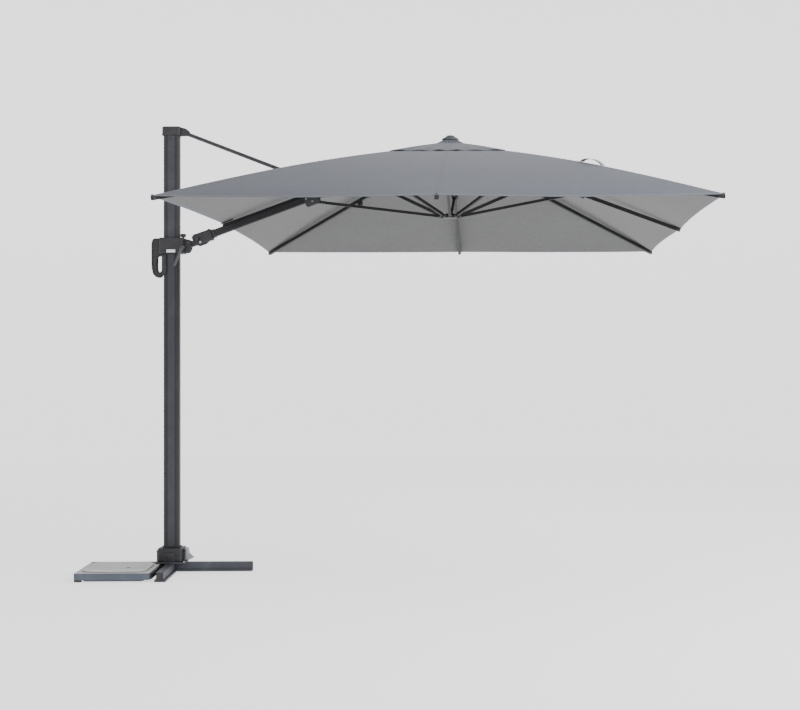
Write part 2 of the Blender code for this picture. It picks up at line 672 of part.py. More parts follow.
def build_canopy(mats):
    rings = [ring_at(reach) for reach in (FABRIC_REACH, 0.8, 0.6, 0.4, VENT_REACH)]
    canopy = add("canopy", canopy_shell(rings), mats["fabric"])
    slot = block((0.895, 1.17), (-0.046, 0.046), (2.3, 2.8))
    change(canopy, cutter("rod_slot", slot))

    rim = ring_at(VENT_CAP_REACH)
    for point in rim:
        point.z += 0.006
    top = []
    for point in rim:
        out = (point - Vector((HUB_X, 0, point.z))).normalized()
        top.append(Vector((HUB_X, 0, VENT_CAP_Z)) + out * 0.012)
    add("vent_canopy", canopy_shell([rim, top]), mats["fabric"])
    low = PIVOT_Z + 0.018 + GAP
    z = VENT_CAP_Z + 0.002
    profile = [(0, low), (0.02, low), (0.02, low + 0.01), (0.008, low + 0.014), (0.008, z), (0.05, z)]
    profile += [(0.057, z + 0.010), (0.053, z + 0.025), (0.035, z + 0.037), (0, z + 0.041)]
    add("finial", turned(profile, 32), mats["dark"], at(HUB_X, 0, 0))


def build():
    for old in list(bpy.data.objects):
        bpy.data.objects.remove(old)
    mats = {
        "steel": material("painted_steel", (0.045, 0.047, 0.057), 0.5, 0.3),
        "dark": material("dark_plastic", (0.05, 0.05, 0.06), 0.5, 0.0),
        "plastic": material("black_plastic", (0.02, 0.02, 0.022), 0.55, 0.0),
        "pale": material("grey_plastic", (0.3, 0.31, 0.33), 0.45, 0.0),
        "zinc": material("zinc", (0.5, 0.5, 0.5), 0.35, 1.0),
        "slab": material("slab_body", (0.17, 0.22, 0.28), 0.7, 0.0),
        "lid": material("slab_lid", (0.52, 0.54, 0.53), 0.75, 0.0),
        "mast": material("anthracite_aluminium", (0.06, 0.063, 0.078), 0.4, 0.4),
        "frame": material("black_aluminium", (0.02, 0.02, 0.023), 0.45, 0.3),
        "label": material("blank_label", (0.8, 0.8, 0.8), 0.5, 0.0),
        "fabric": material("slate_fabric", (0.2, 0.22, 0.26), 0.9, 0.0),
    }
    build_base(mats)
    build_ballast(mats)
    build_mast(mats)
    build_rod(mats)
    build_slider(mats)
    build_elbow(mats)
    build_arm(mats)
    build_frame(mats)
    build_canopy(mats)


build()
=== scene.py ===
"""The looks of a cantilever parasol: fabric, fittings, materials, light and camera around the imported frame.

The canopy is eight wings, one on each rib and one on the arm, so that it folds as the frame does.
"""

import json
import math

import bmesh
import bpy
from mathutils import Matrix, Vector, noise


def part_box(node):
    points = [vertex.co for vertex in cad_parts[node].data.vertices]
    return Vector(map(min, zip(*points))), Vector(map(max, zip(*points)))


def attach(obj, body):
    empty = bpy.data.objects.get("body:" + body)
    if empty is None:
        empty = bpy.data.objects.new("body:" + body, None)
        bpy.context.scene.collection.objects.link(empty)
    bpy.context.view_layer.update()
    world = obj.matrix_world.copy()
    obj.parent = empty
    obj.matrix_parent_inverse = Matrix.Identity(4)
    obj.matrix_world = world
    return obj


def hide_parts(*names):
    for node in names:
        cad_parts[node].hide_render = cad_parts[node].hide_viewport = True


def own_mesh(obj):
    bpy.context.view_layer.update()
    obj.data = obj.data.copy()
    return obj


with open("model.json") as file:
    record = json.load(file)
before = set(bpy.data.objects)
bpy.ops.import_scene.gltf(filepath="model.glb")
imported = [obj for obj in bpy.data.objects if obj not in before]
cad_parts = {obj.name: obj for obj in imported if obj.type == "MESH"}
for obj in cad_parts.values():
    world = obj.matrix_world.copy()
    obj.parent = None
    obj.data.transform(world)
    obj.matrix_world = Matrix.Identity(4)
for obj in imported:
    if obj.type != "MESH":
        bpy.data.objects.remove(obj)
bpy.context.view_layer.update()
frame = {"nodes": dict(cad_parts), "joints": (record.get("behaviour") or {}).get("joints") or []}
JOINTS = {j["name"]: j for j in frame["joints"]}


def middle_of(node):
    low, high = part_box(node)
    return (low + high) / 2


# ---------------------------------------------------------------- places, from the frame

HUB = middle_of("top_hub")
HUB_X = HUB.x
CANOPY_LOW, CANOPY_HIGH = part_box("canopy")
FABRIC_REACH = 0.97
VENT_REACH = 0.2
CAP_REACH = 0.24
HALF_X = (CANOPY_HIGH.x - CANOPY_LOW.x) / 2 / FABRIC_REACH
HALF_Y = (CANOPY_HIGH.y - CANOPY_LOW.y) / 2 / FABRIC_REACH
BULGE = 0.037
RIM_REACH = 1.003
ARM_LIFT = 0.042


def bulge_at(reach):
    return BULGE * math.sin(math.pi * reach)


RIM_Z = CANOPY_LOW.z + 0.0015 - bulge_at(FABRIC_REACH)
VENT_Z = CANOPY_HIGH.z - bulge_at(VENT_REACH)
SLOPE = (VENT_Z - RIM_Z) / (FABRIC_REACH - VENT_REACH)
APEX_Z = VENT_Z + SLOPE * VENT_REACH
FABRIC_T = 0.0016
MAST_LOW, MAST_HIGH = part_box("mast_tube")
SLIDER_LOW, SLIDER_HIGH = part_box("slider_housing")
ELBOW = Vector(JOINTS["elbow_fold"]["pos_m"])
ARM_START = Vector(JOINTS["arm_tilt"]["pos_m"])
ARM_DIR = Vector(JOINTS["arm_tilt"]["axis"]).normalized()
CAP_PIVOT = Vector(JOINTS["stay_swing"]["pos_m"])
STRUT_ARM = Vector(JOINTS["strut_arm_fold"]["pos_m"])
LOWER_HUB = middle_of("lower_hub")
STRUT_PIVOT_R = 0.066
RIB_NAMES = {
    "near_left": (-1, -1),
    "near_middle": (0, -1),
    "near_right": (1, -1),
    "right_middle": (1, 0),
    "far_right": (1, 1),
    "far_middle": (0, 1),
    "far_left": (-1, 1),
    "arm": (-1, 0),
}
BASE_TURN = math.radians(4)


# ---------------------------------------------------------------- node materials


class Nodes:
    """A short way to write a material's nodes."""

    def __init__(self, name):
        self.material = bpy.data.materials.new(name)
        self.material.use_nodes = True
        self.tree = self.material.node_tree
        self.shader = self.tree.nodes["Principled BSDF"]

    def add(self, kind, **values):
        made = self.tree.nodes.new(kind)
        for key, value in values.items():
            if key in made.inputs:
                made.inputs[key].default_value = value
            else:
                setattr(made, key, value)
        return made

    def join(self, out, into):
        self.tree.links.new(out, into)

    def place(self, scale=(1, 1, 1), turn=(0, 0, 0)):
        where = self.add("ShaderNodeTexCoord")
        mapping = self.add("ShaderNodeMapping")
        mapping.inputs["Scale"].default_value = scale
        mapping.inputs["Rotation"].default_value = turn
        self.join(where.outputs["Object"], mapping.inputs["Vector"])
        return mapping.outputs["Vector"]

    def noise(self, scale, detail=4.0, roughness=0.5, where=None):
        made = self.add("ShaderNodeTexNoise")
        made.inputs["Scale"].default_value = scale
        made.inputs["Detail"].default_value = detail
        made.inputs["Roughness"].default_value = roughness
        self.join(where or self.place(), made.inputs["Vector"])
        return made.outputs["Fac"]

    def ramp(self, value, stops):
        made = self.add("ShaderNodeValToRGB")
        self.join(value, made.inputs["Fac"])
        while len(made.color_ramp.elements) < len(stops):
            made.color_ramp.elements.new(0.5)
        for element, (at, colour) in zip(made.color_ramp.elements, stops):
            element.position = at
            element.color = (*colour, 1) if len(colour) == 3 else colour
        return made.outputs["Color"]

    def mix(self, factor, first, second, kind="MIX"):
        made = self.add("ShaderNodeMix")
        made.data_type = "RGBA"
        made.blend_type = kind
        for into, value in ((made.inputs["Factor"], factor), (made.inputs["A"], first), (made.inputs["B"], second)):
            pass
        for index, value in ((0, factor), (6, first), (7, second)):
            socket = made.inputs[index]
            if hasattr(value, "links"):
                self.join(value, socket)
            elif index == 0:
                socket.default_value = value
            else:
                socket.default_value = (*value, 1)
        return made.outputs[2]

    def math(self, kind, first, second=0.0):
        made = self.add("ShaderNodeMath")
        made.operation = kind
        for index, value in ((0, first), (1, second)):
            if hasattr(value, "links"):
                self.join(value, made.inputs[index])
            else:
                made.inputs[index].default_value = value
        return made.outputs[0]

    def span(self, value, low, high):
        made = self.add("ShaderNodeMapRange")
        self.join(value, made.inputs["Value"])
        made.inputs["To Min"].default_value = low
        made.inputs["To Max"].default_value = high
        return made.outputs["Result"]

    def bump(self, height, strength, distance, below=None):
        made = self.add("ShaderNodeBump")
        made.inputs["Strength"].default_value = strength
        made.inputs["Distance"].default_value = distance
        self.join(height, made.inputs["Height"])
        if below:
            self.join(below, made.inputs["Normal"])
        return made.outputs["Normal"]

    def set(self, **sockets):
        for name, value in sockets.items():
            socket = self.shader.inputs[name.replace("_", " ")]
            if hasattr(value, "links"):
                self.join(value, socket)
            else:
                socket.default_value = value
        return self.material


def powder_coat(name, colour, roughness=0.42, metallic=0.25):
    """Powder-coated aluminium or steel: a fine orange peel, faint dust and slightly rubbed patches."""
    n = Nodes(name)
    where = n.place()
    patches = n.noise(7, 5, 0.6, where)
    fine = n.noise(900, 2, 0.5, where)
    specks = n.noise(260, 3, 0.7, where)
    light = tuple(min(1, c * 1.28 + 0.004) for c in colour)
    dark = tuple(c * 0.82 for c in colour)
    base = n.ramp(patches, [(0.3, dark), (0.52, colour), (0.75, light)])
    dust = n.ramp(specks, [(0.62, (0, 0, 0)), (0.8, (0.03, 0.03, 0.03))])
    base = n.mix(1.0, base, dust, "ADD")
    rough = n.span(patches, roughness - 0.07, roughness + 0.1)
    peel = n.bump(fine, 0.25, 0.0004)
    n.shader.inputs["Specular IOR Level"].default_value = 0.35
    return n.set(Base_Color=base, Roughness=rough, Metallic=metallic, Normal=peel)


def plastic(name, colour, roughness=0.5, grain=0.35):
    """Moulded plastic with a fine leather grain and faint scuffs."""
    n = Nodes(name)
    where = n.place()
    clouds = n.noise(11, 4, 0.6, where)
    grain_noise = n.noise(1500, 2, 0.55, where)
    scuffs = n.noise(60, 8, 0.75, n.place((1, 1, 6)))
    light = tuple(min(1, c * 1.25 + 0.006) for c in colour)
    dark = tuple(c * 0.8 for c in colour)
    base = n.ramp(clouds, [(0.3, dark), (0.5, colour), (0.75, light)])
    rub = n.ramp(scuffs, [(0.66, (0, 0, 0)), (0.85, (0.04, 0.04, 0.04))])
    base = n.mix(1.0, base, rub, "ADD")
    rough = n.span(clouds, roughness - 0.08, roughness + 0.1)
    bumps = n.bump(grain_noise, grain, 0.0003)
    n.shader.inputs["Specular IOR Level"].default_value = 0.4
    return n.set(Base_Color=base, Roughness=rough, Metallic=0.0, Normal=bumps)


def zinc_metal(name, dark=(0.25, 0.26, 0.27), light=(0.45, 0.46, 0.47)):
    """Zinc-plated steel with a soft mottled finish."""
    n = Nodes(name)
    where = n.place()
    mottle = n.noise(140, 5, 0.6, where)
    base = n.ramp(mottle, [(0.3, dark), (0.7, light)])
    rough = n.span(mottle, 0.25, 0.45)
    lines = n.noise(800, 2, 0.5, n.place((1, 1, 0.1)))
    return n.set(Base_Color=base, Roughness=rough, Metallic=1.0, Normal=n.bump(lines, 0.15, 0.0003))


def woven(name, colour, shade, roughness=0.85, sheen=0.25, gap_attribute=True):
    """Polyester canvas: a plain weave, faint streaks along the threads, seams beside the ribs and along the rim, and
    painted shade darkening the groove along each rib.
    """
    n = Nodes(name)
    where = n.place()
    light = tuple(min(1, c * 1.09) for c in colour)
    dark = tuple(c * 0.92 for c in colour)
    clouds = n.noise(1.3, 5, 0.55, where)
    base = n.ramp(clouds, [(0.3, dark), (0.5, colour), (0.72, light)])
    threads_x = n.noise(420, 2, 0.5, n.place((0.02, 1, 0.3)))
    threads_y = n.noise(420, 2, 0.5, n.place((1, 0.02, 0.3)))
    threads = n.math("ADD", threads_x, threads_y)
    streak = n.ramp(threads, [(0.75, (0.94, 0.94, 0.94)), (1.25, (1.05, 1.05, 1.05))])
    base = n.mix(0.8, base, streak, "MULTIPLY")
    heather = n.noise(85, 4, 0.65, n.place((0.3, 1, 1)))
    flecks = n.ramp(heather, [(0.32, (0.86, 0.86, 0.86)), (0.5, (1, 1, 1)), (0.68, (1.14, 1.14, 1.14))])
    base = n.mix(1.0, base, flecks, "MULTIPLY")
    folds = n.noise(3.2, 3, 0.5, n.place((1, 1, 0.5)))
    weave_x = n.add("ShaderNodeTexWave", wave_type="BANDS", bands_direction="X")
    weave_y = n.add("ShaderNodeTexWave", wave_type="BANDS", bands_direction="Y")
    for wave in (weave_x, weave_y):
        wave.inputs["Scale"].default_value = 190
        wave.inputs["Distortion"].default_value = 0.6
        wave.inputs["Detail"].default_value = 1
        n.join(where, wave.inputs["Vector"])
    cloth = n.math("MULTIPLY", weave_x.outputs["Fac"], weave_y.outputs["Fac"])
    normal = n.bump(folds, 0.35, 0.004)
    normal = n.bump(threads, 0.1, 0.0004, normal)
    normal = n.bump(cloth, 0.25, 0.0002, normal)
    if gap_attribute:
        seam = n.add("ShaderNodeAttribute", attribute_name="seam_gap").outputs["Fac"]
        along = n.add("ShaderNodeAttribute", attribute_name="seam_along").outputs["Fac"]
        # Painted shade: the cloth darkens within about 6 mm of the rib line, standing in for shade in the seam's
        # groove.
        seam_groove_shade = n.ramp(seam, [(0.0, (0.8, 0.8, 0.8)), (0.0035, (0.88, 0.88, 0.88)), (0.006, (1, 1, 1))])
        first = n.math("LESS_THAN", n.math("ABSOLUTE", n.math("SUBTRACT", seam, 0.010)), 0.0008)
        second = n.math("LESS_THAN", n.math("ABSOLUTE", n.math("SUBTRACT", seam, 0.0145)), 0.0008)
        dashes = n.math("GREATER_THAN", n.math("FRACT", n.math("MULTIPLY", along, 220.0)), 0.3)
        stitches = n.math("MULTIPLY", n.math("ADD", first, second), dashes)
        base = n.mix(1.0, base, seam_groove_shade, "MULTIPLY")
        base = n.mix(n.math("MULTIPLY", stitches, 0.45), base, shade)
        flat = n.math("SUBTRACT", 1.0, n.math("MULTIPLY", stitches, 0.5))
        normal = n.bump(flat, 0.5, 0.0006, normal)
    rough = n.span(clouds, roughness - 0.05, roughness + 0.06)
    n.shader.inputs["Sheen Weight"].default_value = sheen
    n.shader.inputs["Sheen Roughness"].default_value = 0.5
    return n.set(Base_Color=base, Roughness=rough, Metallic=0.0, Normal=normal)


def cast_slab(name, colour, light, coarse=55.0):
    """Weather-proof ballast shell: speckled, slightly rough, stained by rain."""
    n = Nodes(name)
    where = n.place()
    clouds = n.noise(6, 6, 0.6, where)
    specks = n.noise(coarse * 9, 3, 0.6, where)
    pits = n.add("ShaderNodeTexVoronoi")
    pits.inputs["Scale"].default_value = coarse * 4
    n.join(where, pits.inputs["Vector"])
    base = n.ramp(clouds, [(0.28, tuple(c * 0.86 for c in colour)), (0.5, colour), (0.75, light)])
    grain = n.ramp(specks, [(0.35, (0.82, 0.82, 0.82)), (0.55, (1, 1, 1)), (0.75, (1.12, 1.12, 1.12))])
    base = n.mix(0.8, base, grain, "MULTIPLY")
    normal = n.bump(specks, 0.4, 0.0006)
    normal = n.bump(pits.outputs["Distance"], 0.25, 0.0006, normal)
    return n.set(Base_Color=base, Roughness=n.span(clouds, 0.62, 0.85), Metallic=0.0, Normal=normal)


MAST = powder_coat("mast_coat", (0.0155, 0.016, 0.0196), 0.52, 0.05)
# The band coat is lighter than the mast coat: a painted highlight for light falling on the middle of the mast's front
# and back faces.
MAST_HIGHLIGHT_BAND = powder_coat("mast_painted_highlight_band", (0.028, 0.0295, 0.037), 0.5, 0.05)
STEEL = powder_coat("base_coat", (0.035, 0.037, 0.048), 0.5, 0.1)
ROD = powder_coat("rod_coat", (0.052, 0.053, 0.06), 0.5, 0.1)
FRAME = powder_coat("frame_coat", (0.0075, 0.0075, 0.0085), 0.55, 0.0)
ARM = powder_coat("arm_coat", (0.011, 0.011, 0.013), 0.55, 0.0)
DARK = plastic("dark_plastic", (0.0145, 0.0145, 0.0172), 0.52)
BLACK = plastic("black_plastic", (0.015, 0.015, 0.017), 0.55)
PALE = plastic("grey_plastic", (0.27, 0.28, 0.30), 0.42)
FINIAL = plastic("finial_plastic", (0.06, 0.064, 0.074), 0.65)
LEVER = plastic("lever_plastic", (0.055, 0.056, 0.062), 0.45)
LABEL = plastic("blank_label", (0.72, 0.72, 0.72), 0.4, 0.1)
ZINC = zinc_metal("zinc_steel")
DARK_ZINC = zinc_metal("black_zinc", (0.03, 0.03, 0.033), (0.075, 0.077, 0.08))
TOP_CLOTH = woven("canopy_outside", (0.0535, 0.0605, 0.0815), (0.033, 0.0375, 0.0425), sheen=0.1)
# The underside cloth is paler than the outer cloth: painted light, standing in for light through the thin fabric and
# light thrown up from the floor.
UNDER_CLOTH_PAINTED_LIGHT = woven("canopy_underside_painted_light", (0.076, 0.077, 0.078), (0.045, 0.045, 0.047), sheen=0.1)
# The hem cloth is a lighter copy of the canopy cloth: painted light, lifting the hems and rim walls that are seen in
# shade from below.
LIT_HEM_CLOTH = woven("canopy_hem_painted_light", (0.080, 0.088, 0.108), (0.05, 0.055, 0.06), sheen=0.1, gap_attribute=False)
WEBBING = woven("webbing", (0.12, 0.13, 0.15), (0.1, 0.1, 0.1), 0.8, 0.2, gap_attribute=False)
SLAB = cast_slab("slab_shell", (0.058, 0.068, 0.092), (0.085, 0.097, 0.122))
LID = cast_slab("slab_lid", (0.46, 0.475, 0.46), (0.56, 0.57, 0.55), 70.0)


# ---------------------------------------------------------------- mesh helpers


def piece(name, shape, mats, body, stands_for=(), smooth=35):
    """An object from a bmesh, riding on a body."""
    mesh = bpy.data.meshes.new(name)
    shape.normal_update()
    shape.to_mesh(mesh)
    shape.free()
    if smooth:
        mesh.shade_smooth()
        mesh.set_sharp_from_angle(angle=math.radians(smooth))
    for mat in mats if isinstance(mats, (list, tuple)) else [mats]:
        mesh.materials.append(mat)
    made = bpy.data.objects.new(name, mesh)
    bpy.context.scene.collection.objects.link(made)
    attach(made, body)
    if stands_for:
        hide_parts(*([stands_for] if isinstance(stands_for, str) else stands_for))
    return made


def fix(shape):
    bmesh.ops.recalc_face_normals(shape, faces=shape.faces)
    return shape


def frame_at(origin, along, up=Vector((0, 0, 1))):
    """A matrix with +X along the given direction and +Z on the side of up."""
    x = along.normalized()
    y = up.cross(x).normalized()
    z = x.cross(y)
    made = Matrix((x, y, z)).transposed().to_4x4()
    made.translation = origin
    return made


def rounded(width, height, radius, steps=6):
    points = []
    for corner, (sx, sy) in enumerate([(1, 1), (-1, 1), (-1, -1), (1, -1)]):
        cx, cy = sx * (width / 2 - radius), sy * (height / 2 - radius)
        for step in range(steps + 1):
            angle = math.pi / 2 * (corner + step / steps)
            points.append((cx + radius * math.cos(angle), cy + radius * math.sin(angle)))
    return points


def smooth_outline(points, radius, steps=5):
    """A polygon's outline with each corner rounded to at most the radius."""
    made = []
    count = len(points)
    for i in range(count):
        p = Vector(points[i])
        to_last = Vector(points[i - 1]) - p
        to_next = Vector(points[(i + 1) % count]) - p
        cut = min(radius, to_last.length * 0.45, to_next.length * 0.45)
        start = p + to_last.normalized() * cut
        end = p + to_next.normalized() * cut
        for step in range(steps + 1):
            t = step / steps
            made.append(tuple((1 - t) ** 2 * start + 2 * t * (1 - t) * p + t * t * end))
    return made


def drawn(outline, low, high, edge=0.0, steps=2, into=None):
    """An outline in X and Y drawn out along Z, with rounded rims of the given size."""
    shape = into or bmesh.new()
    middle = Vector((sum(p[0] for p in outline), sum(p[1] for p in outline))) / len(outline)
    levels = []
    if edge:
        for step in range(steps + 1):
            angle = math.pi / 2 * step / steps
            levels.append((low + edge * (1 - math.sin(angle)), edge * (1 - math.cos(angle))))
        levels = [(z, inset) for z, inset in reversed(levels)]
        levels = [(low + edge * (1 - math.sin(a)), edge * (1 - math.cos(a))) for a in
                  [math.pi / 2 * (1 - s / steps) for s in range(steps + 1)]]
        top = [(high - edge * (1 - math.sin(a)), edge * (1 - math.cos(a))) for a in
               [math.pi / 2 * s / steps for s in range(steps + 1)]]
        levels += top
    else:
        levels = [(low, 0.0), (high, 0.0)]
    extent = max((Vector(p) - middle).length for p in outline)
    rows = []
    for z, inset in levels:
        scale = 1 - inset / extent
        rows.append([shape.verts.new((middle.x + (x - middle.x) * scale, middle.y + (y - middle.y) * scale, z)) for x, y in outline])
    count = len(outline)
    for a, b in zip(rows, rows[1:]):
        for i in range(count):
            j = (i + 1) % count
            shape.faces.new((a[i], a[j], b[j], b[i]))
    shape.faces.new(rows[0][::-1])
    shape.faces.new(rows[-1])
    return shape


def turned(profile, segments=48, into=None):
    """A profile of (radius, z) points turned about Z, from axis to axis."""
    shape = into or bmesh.new()
    rows = []
    for r, z in profile:
        steps = segments if r else 1
        rows.append([shape.verts.new((r * math.cos(2 * math.pi * i / segments), r * math.sin(2 * math.pi * i / segments), z)) for i in range(steps)])
    for a, b in zip(rows, rows[1:]):
        for i in range(segments):
            j = (i + 1) % segments
            kept = list(dict.fromkeys([a[i % len(a)], a[j % len(a)], b[j % len(b)], b[i % len(b)]]))
            if len(kept) > 2:
                shape.faces.new(kept)
    return shape


def moved(shape, matrix):
    shape.transform(matrix)
    return shape


def merged(shapes):
    """Several bmeshes as one."""
    made = bmesh.new()
    for shape in shapes:
        mesh = bpy.data.meshes.new("part")
        shape.to_mesh(mesh)
        shape.free()
        made.from_mesh(mesh)
        bpy.data.meshes.remove(mesh)
    return made


def lying(outline, y_low, y_high, edge=0.0, steps=2):
    """An outline in X and Z drawn out along Y."""
    shape = drawn(outline, -y_high, -y_low, edge, steps)
    return moved(shape, Matrix.Rotation(math.pi / 2, 4, "X"))


def across(radius, y_low, y_high, segments=24, dome=0.0):
    """A cylinder along Y, with domed ends if dome is set."""
    profile = [(0, -y_high)]
    if dome:
        profile += [(radius * 0.6, -y_high + dome * 0.25)]
    profile += [(radius, -y_high + dome), (radius, -y_low - dome)]
    if dome:
        profile += [(radius * 0.6, -y_low - dome * 0.25)]
    profile += [(0, -y_low)]
    return moved(turned(profile, segments), Matrix.Rotation(math.pi / 2, 4, "X"))


def ring_plate(outer, inner, centre, half, edge):
    """A plate in X and Z with a hole, its rims rounded, from outlines that both run round the centre."""
    count, steps = 96, 3

    def at_angle(outline, angle):
        way = Vector((math.cos(angle), math.sin(angle)))
        best = 0.0
        for p, q in zip(outline, [*outline[1:], outline[0]]):
            a, b = Vector(p) - centre, Vector(q) - centre
            side = b - a
            cross = way.x * side.y - way.y * side.x
            if abs(cross) < 1e-12:
                continue
            far = (a.x * side.y - a.y * side.x) / cross
            along = (a.x * way.y - a.y * way.x) / cross
            if far > 0 and -1e-6 <= along <= 1 + 1e-6:
                best = max(best, far)
        return way, best

    shape = bmesh.new()
    rows = []
    for i in range(count):
        way, far = at_angle(outer, 2 * math.pi * i / count)
        near = at_angle(inner, 2 * math.pi * i / count)[1]
        ring = []
        for y_side in (1, -1):
            profile = [(edge * (1 - math.sin(math.pi / 2 * k / steps)), half - edge * (1 - math.cos(math.pi / 2 * k / steps)))
                       for k in range(steps + 1)]
            outer_half = [(far - inset, y_side * y) for inset, y in profile]
            inner_half = [(near + inset, y_side * y) for inset, y in profile]
            ring.append((outer_half, inner_half))
        order = ring[0][1] + ring[0][0][::-1] + ring[1][0] + ring[1][1][::-1]
        rows.append([shape.verts.new((centre.x + way.x * r, y, centre.y + way.y * r)) for r, y in order])
    for i in range(count):
        a, b = rows[i], rows[(i + 1) % count]
        for k in range(len(a)):
            m = (k + 1) % len(a)
            shape.faces.new((a[k], a[m], b[m], b[k]))
    return shape


def bolt_head(radius, height, segments=6, socket=True):
    """A hexagon or round head standing up along Z, with a rim and a socket."""
    rim = radius * 0.12
    profile = [(0, 0), (radius, 0), (radius, height - rim), (radius - rim, height)]
    if socket:
        profile += [(radius * 0.5, height), (radius * 0.45, height - height * 0.45), (0, height - height * 0.5)]
    else:
        profile += [(0, height + rim)]
    return turned(profile, segments)


# ---------------------------------------------------------------- canopy


def tip_of(name):
    sx, sy = RIB_NAMES[name]
    return Vector((sx * HALF_X, sy * HALF_Y))


def boundary_between(first, second):
    """Where the plan's bisector between two ribs meets the tip rectangle."""
    a, b = tip_of(first), tip_of(second)
    out = (a.normalized() + b.normalized()).normalized()
    scale = min(HALF_X / max(abs(out.x), 1e-9), HALF_Y / max(abs(out.y), 1e-9))
    return out * scale


def canopy_height(x, y, reach):
    """The outer surface's height at a plan point from the hub's axis."""
    z = APEX_Z - SLOPE * reach + bulge_at(reach) - 0.0035
    if x < 0 and reach > VENT_REACH:
        beside = max(0.0, 1 - abs(y) / (HALF_Y * reach))
        z += ARM_LIFT * beside * (reach - VENT_REACH) / (FABRIC_REACH - VENT_REACH)
    return z


SLOT_NEAR, SLOT_FAR = 0.442, 0.625  # the stay rod's slot, as shares of the way to the arm side's rim
SLOT_SIDE = 0.125
HEM = 0.024


def wing_rows(start, end, count, extra=()):
    rows = [start + (end - start) * i / count for i in range(count + 1)]
    return sorted(set(rows) | set(extra))


def cloth_wing(name, spec):
    """One rib's share of a canopy, as a closed thin sheet with hemmed rims."""
    rib, rows, columns, height, hem_rows, slot, sag = (
        spec["rib"], spec["rows"], spec["columns"], spec["height"], spec["hem_rows"], spec["slot"], spec["sag"],
    )
    names = list(RIB_NAMES)
    index = names.index(rib)
    tip = tip_of(rib)
    sides = (names[index - 1], names[(index + 1) % len(names)])
    order = [(-f, 0) for f in reversed(columns[1:])] + [(f, 1) for f in columns]
    shape = bmesh.new()
    gap_layer = shape.verts.layers.float.new("seam_gap")
    along_layer = shape.verts.layers.float.new("seam_along")
    layers = []
    grid = []
    for f, side in order:
        other = tip_of(sides[side])
        edge = boundary_between(rib, sides[side])
        share = abs(f)
        half = (edge - tip).length / (other - tip).length
        line = []
        for t in rows:
            g = share * half
            inward = spec["scallop"] * math.sin(math.pi * g) * (t / rows[-1]) ** 10
            plan = (tip + (edge - tip) * share) * (t * (1 - inward))
            z = height(plan.x, plan.y, t) - sag * t * math.sin(math.pi * g)
            where = Vector((plan.x * 2.3, plan.y * 2.3, 0))
            z += 0.0016 * noise.noise(where) * min(1, (1 - share) * 4 + 0.3) * (1 if share else 0.2)
            pull = math.cos(2 * math.pi * g * 4) * min(1.0, share * 6)
            z += spec["pleat"] * pull * max(0.0, 1 - (t - rows[0]) / (0.45 * (rows[-1] - rows[0]))) ** 2
            wave = spec.get("wave", 0.0)
            if wave:
                rim_part = max(0.0, (t - rows[0]) / (rows[-1] - rows[0])) ** 3
                z += wave * rim_part * math.sin(math.pi * g * spec["waves"]) ** 2
            line.append((plan, z, share * (edge - tip).length * t, t * tip.length))
        grid.append(line)
    for lift in (0.0, -FABRIC_T):
        level = []
        for line in grid:
            level.append([])
            for k, (plan, z, gap, along) in enumerate(line):
                thick = 0.0
                if k >= len(line) - hem_rows:
                    thick = 0.0006
                drop = lift + (thick if lift == 0 else -thick)
                vert = shape.verts.new((HUB_X + plan.x, plan.y, z + drop))
                vert[gap_layer] = min(gap, 0.5)
                vert[along_layer] = along
                level[-1].append(vert)
        layers.append(level)
    outer, inner = layers
    last_row = len(rows) - 1

    def filled(i, k):
        if not (0 <= i < len(order) - 1 and 0 <= k < last_row):
            return False
        if not slot:
            return True
        share = (abs(order[i][0]) + abs(order[i + 1][0])) / 2
        reach = (rows[k] + rows[k + 1]) / 2
        return not (share < slot[2] and slot[0] < reach < slot[1])

    for i in range(len(order) - 1):
        for k in range(last_row):
            if not filled(i, k):
                continue
            near_slot = slot and not all(filled(i + a, k + b) or not (0 <= i + a < len(order) - 1 and 0 <= k + b < last_row)
                                         for a, b in ((1, 0), (-1, 0), (0, 1), (0, -1)))
            hem = k >= last_row - hem_rows + 1 or near_slot
            a, b, c, d = (outer[i][k], outer[i + 1][k], outer[i + 1][k + 1], outer[i][k + 1])
            top = shape.faces.new((a, b, c, d))
            top.material_index = 2 if hem else 0
            e, f, g, h = (inner[i][k], inner[i + 1][k], inner[i + 1][k + 1], inner[i][k + 1])
            under = shape.faces.new((h, g, f, e))
            under.material_index = 2 if hem else 1
            walls = (
                (filled(i - 1, k), a, d, h, e),
                (filled(i + 1, k), c, b, f, g),
                (filled(i, k - 1), b, a, e, f),
                (filled(i, k + 1), d, c, g, h),
            )
            for beyond, p, q, r, s in walls:
                if not beyond:
                    shape.faces.new((p, q, r, s)).material_index = 2
    loose = [v for v in shape.verts if not v.link_faces]
    bmesh.ops.delete(shape, geom=loose, context="VERTS")
    return fix(shape)


def fold_with(made):
    """Gives the wing a mesh of its own."""
    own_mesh(made)


def fine_columns(count):
    near = [0.0, 0.006, 0.014, 0.03]
    return near + [0.03 + 0.97 * (i / count) for i in range(1, count + 1)]


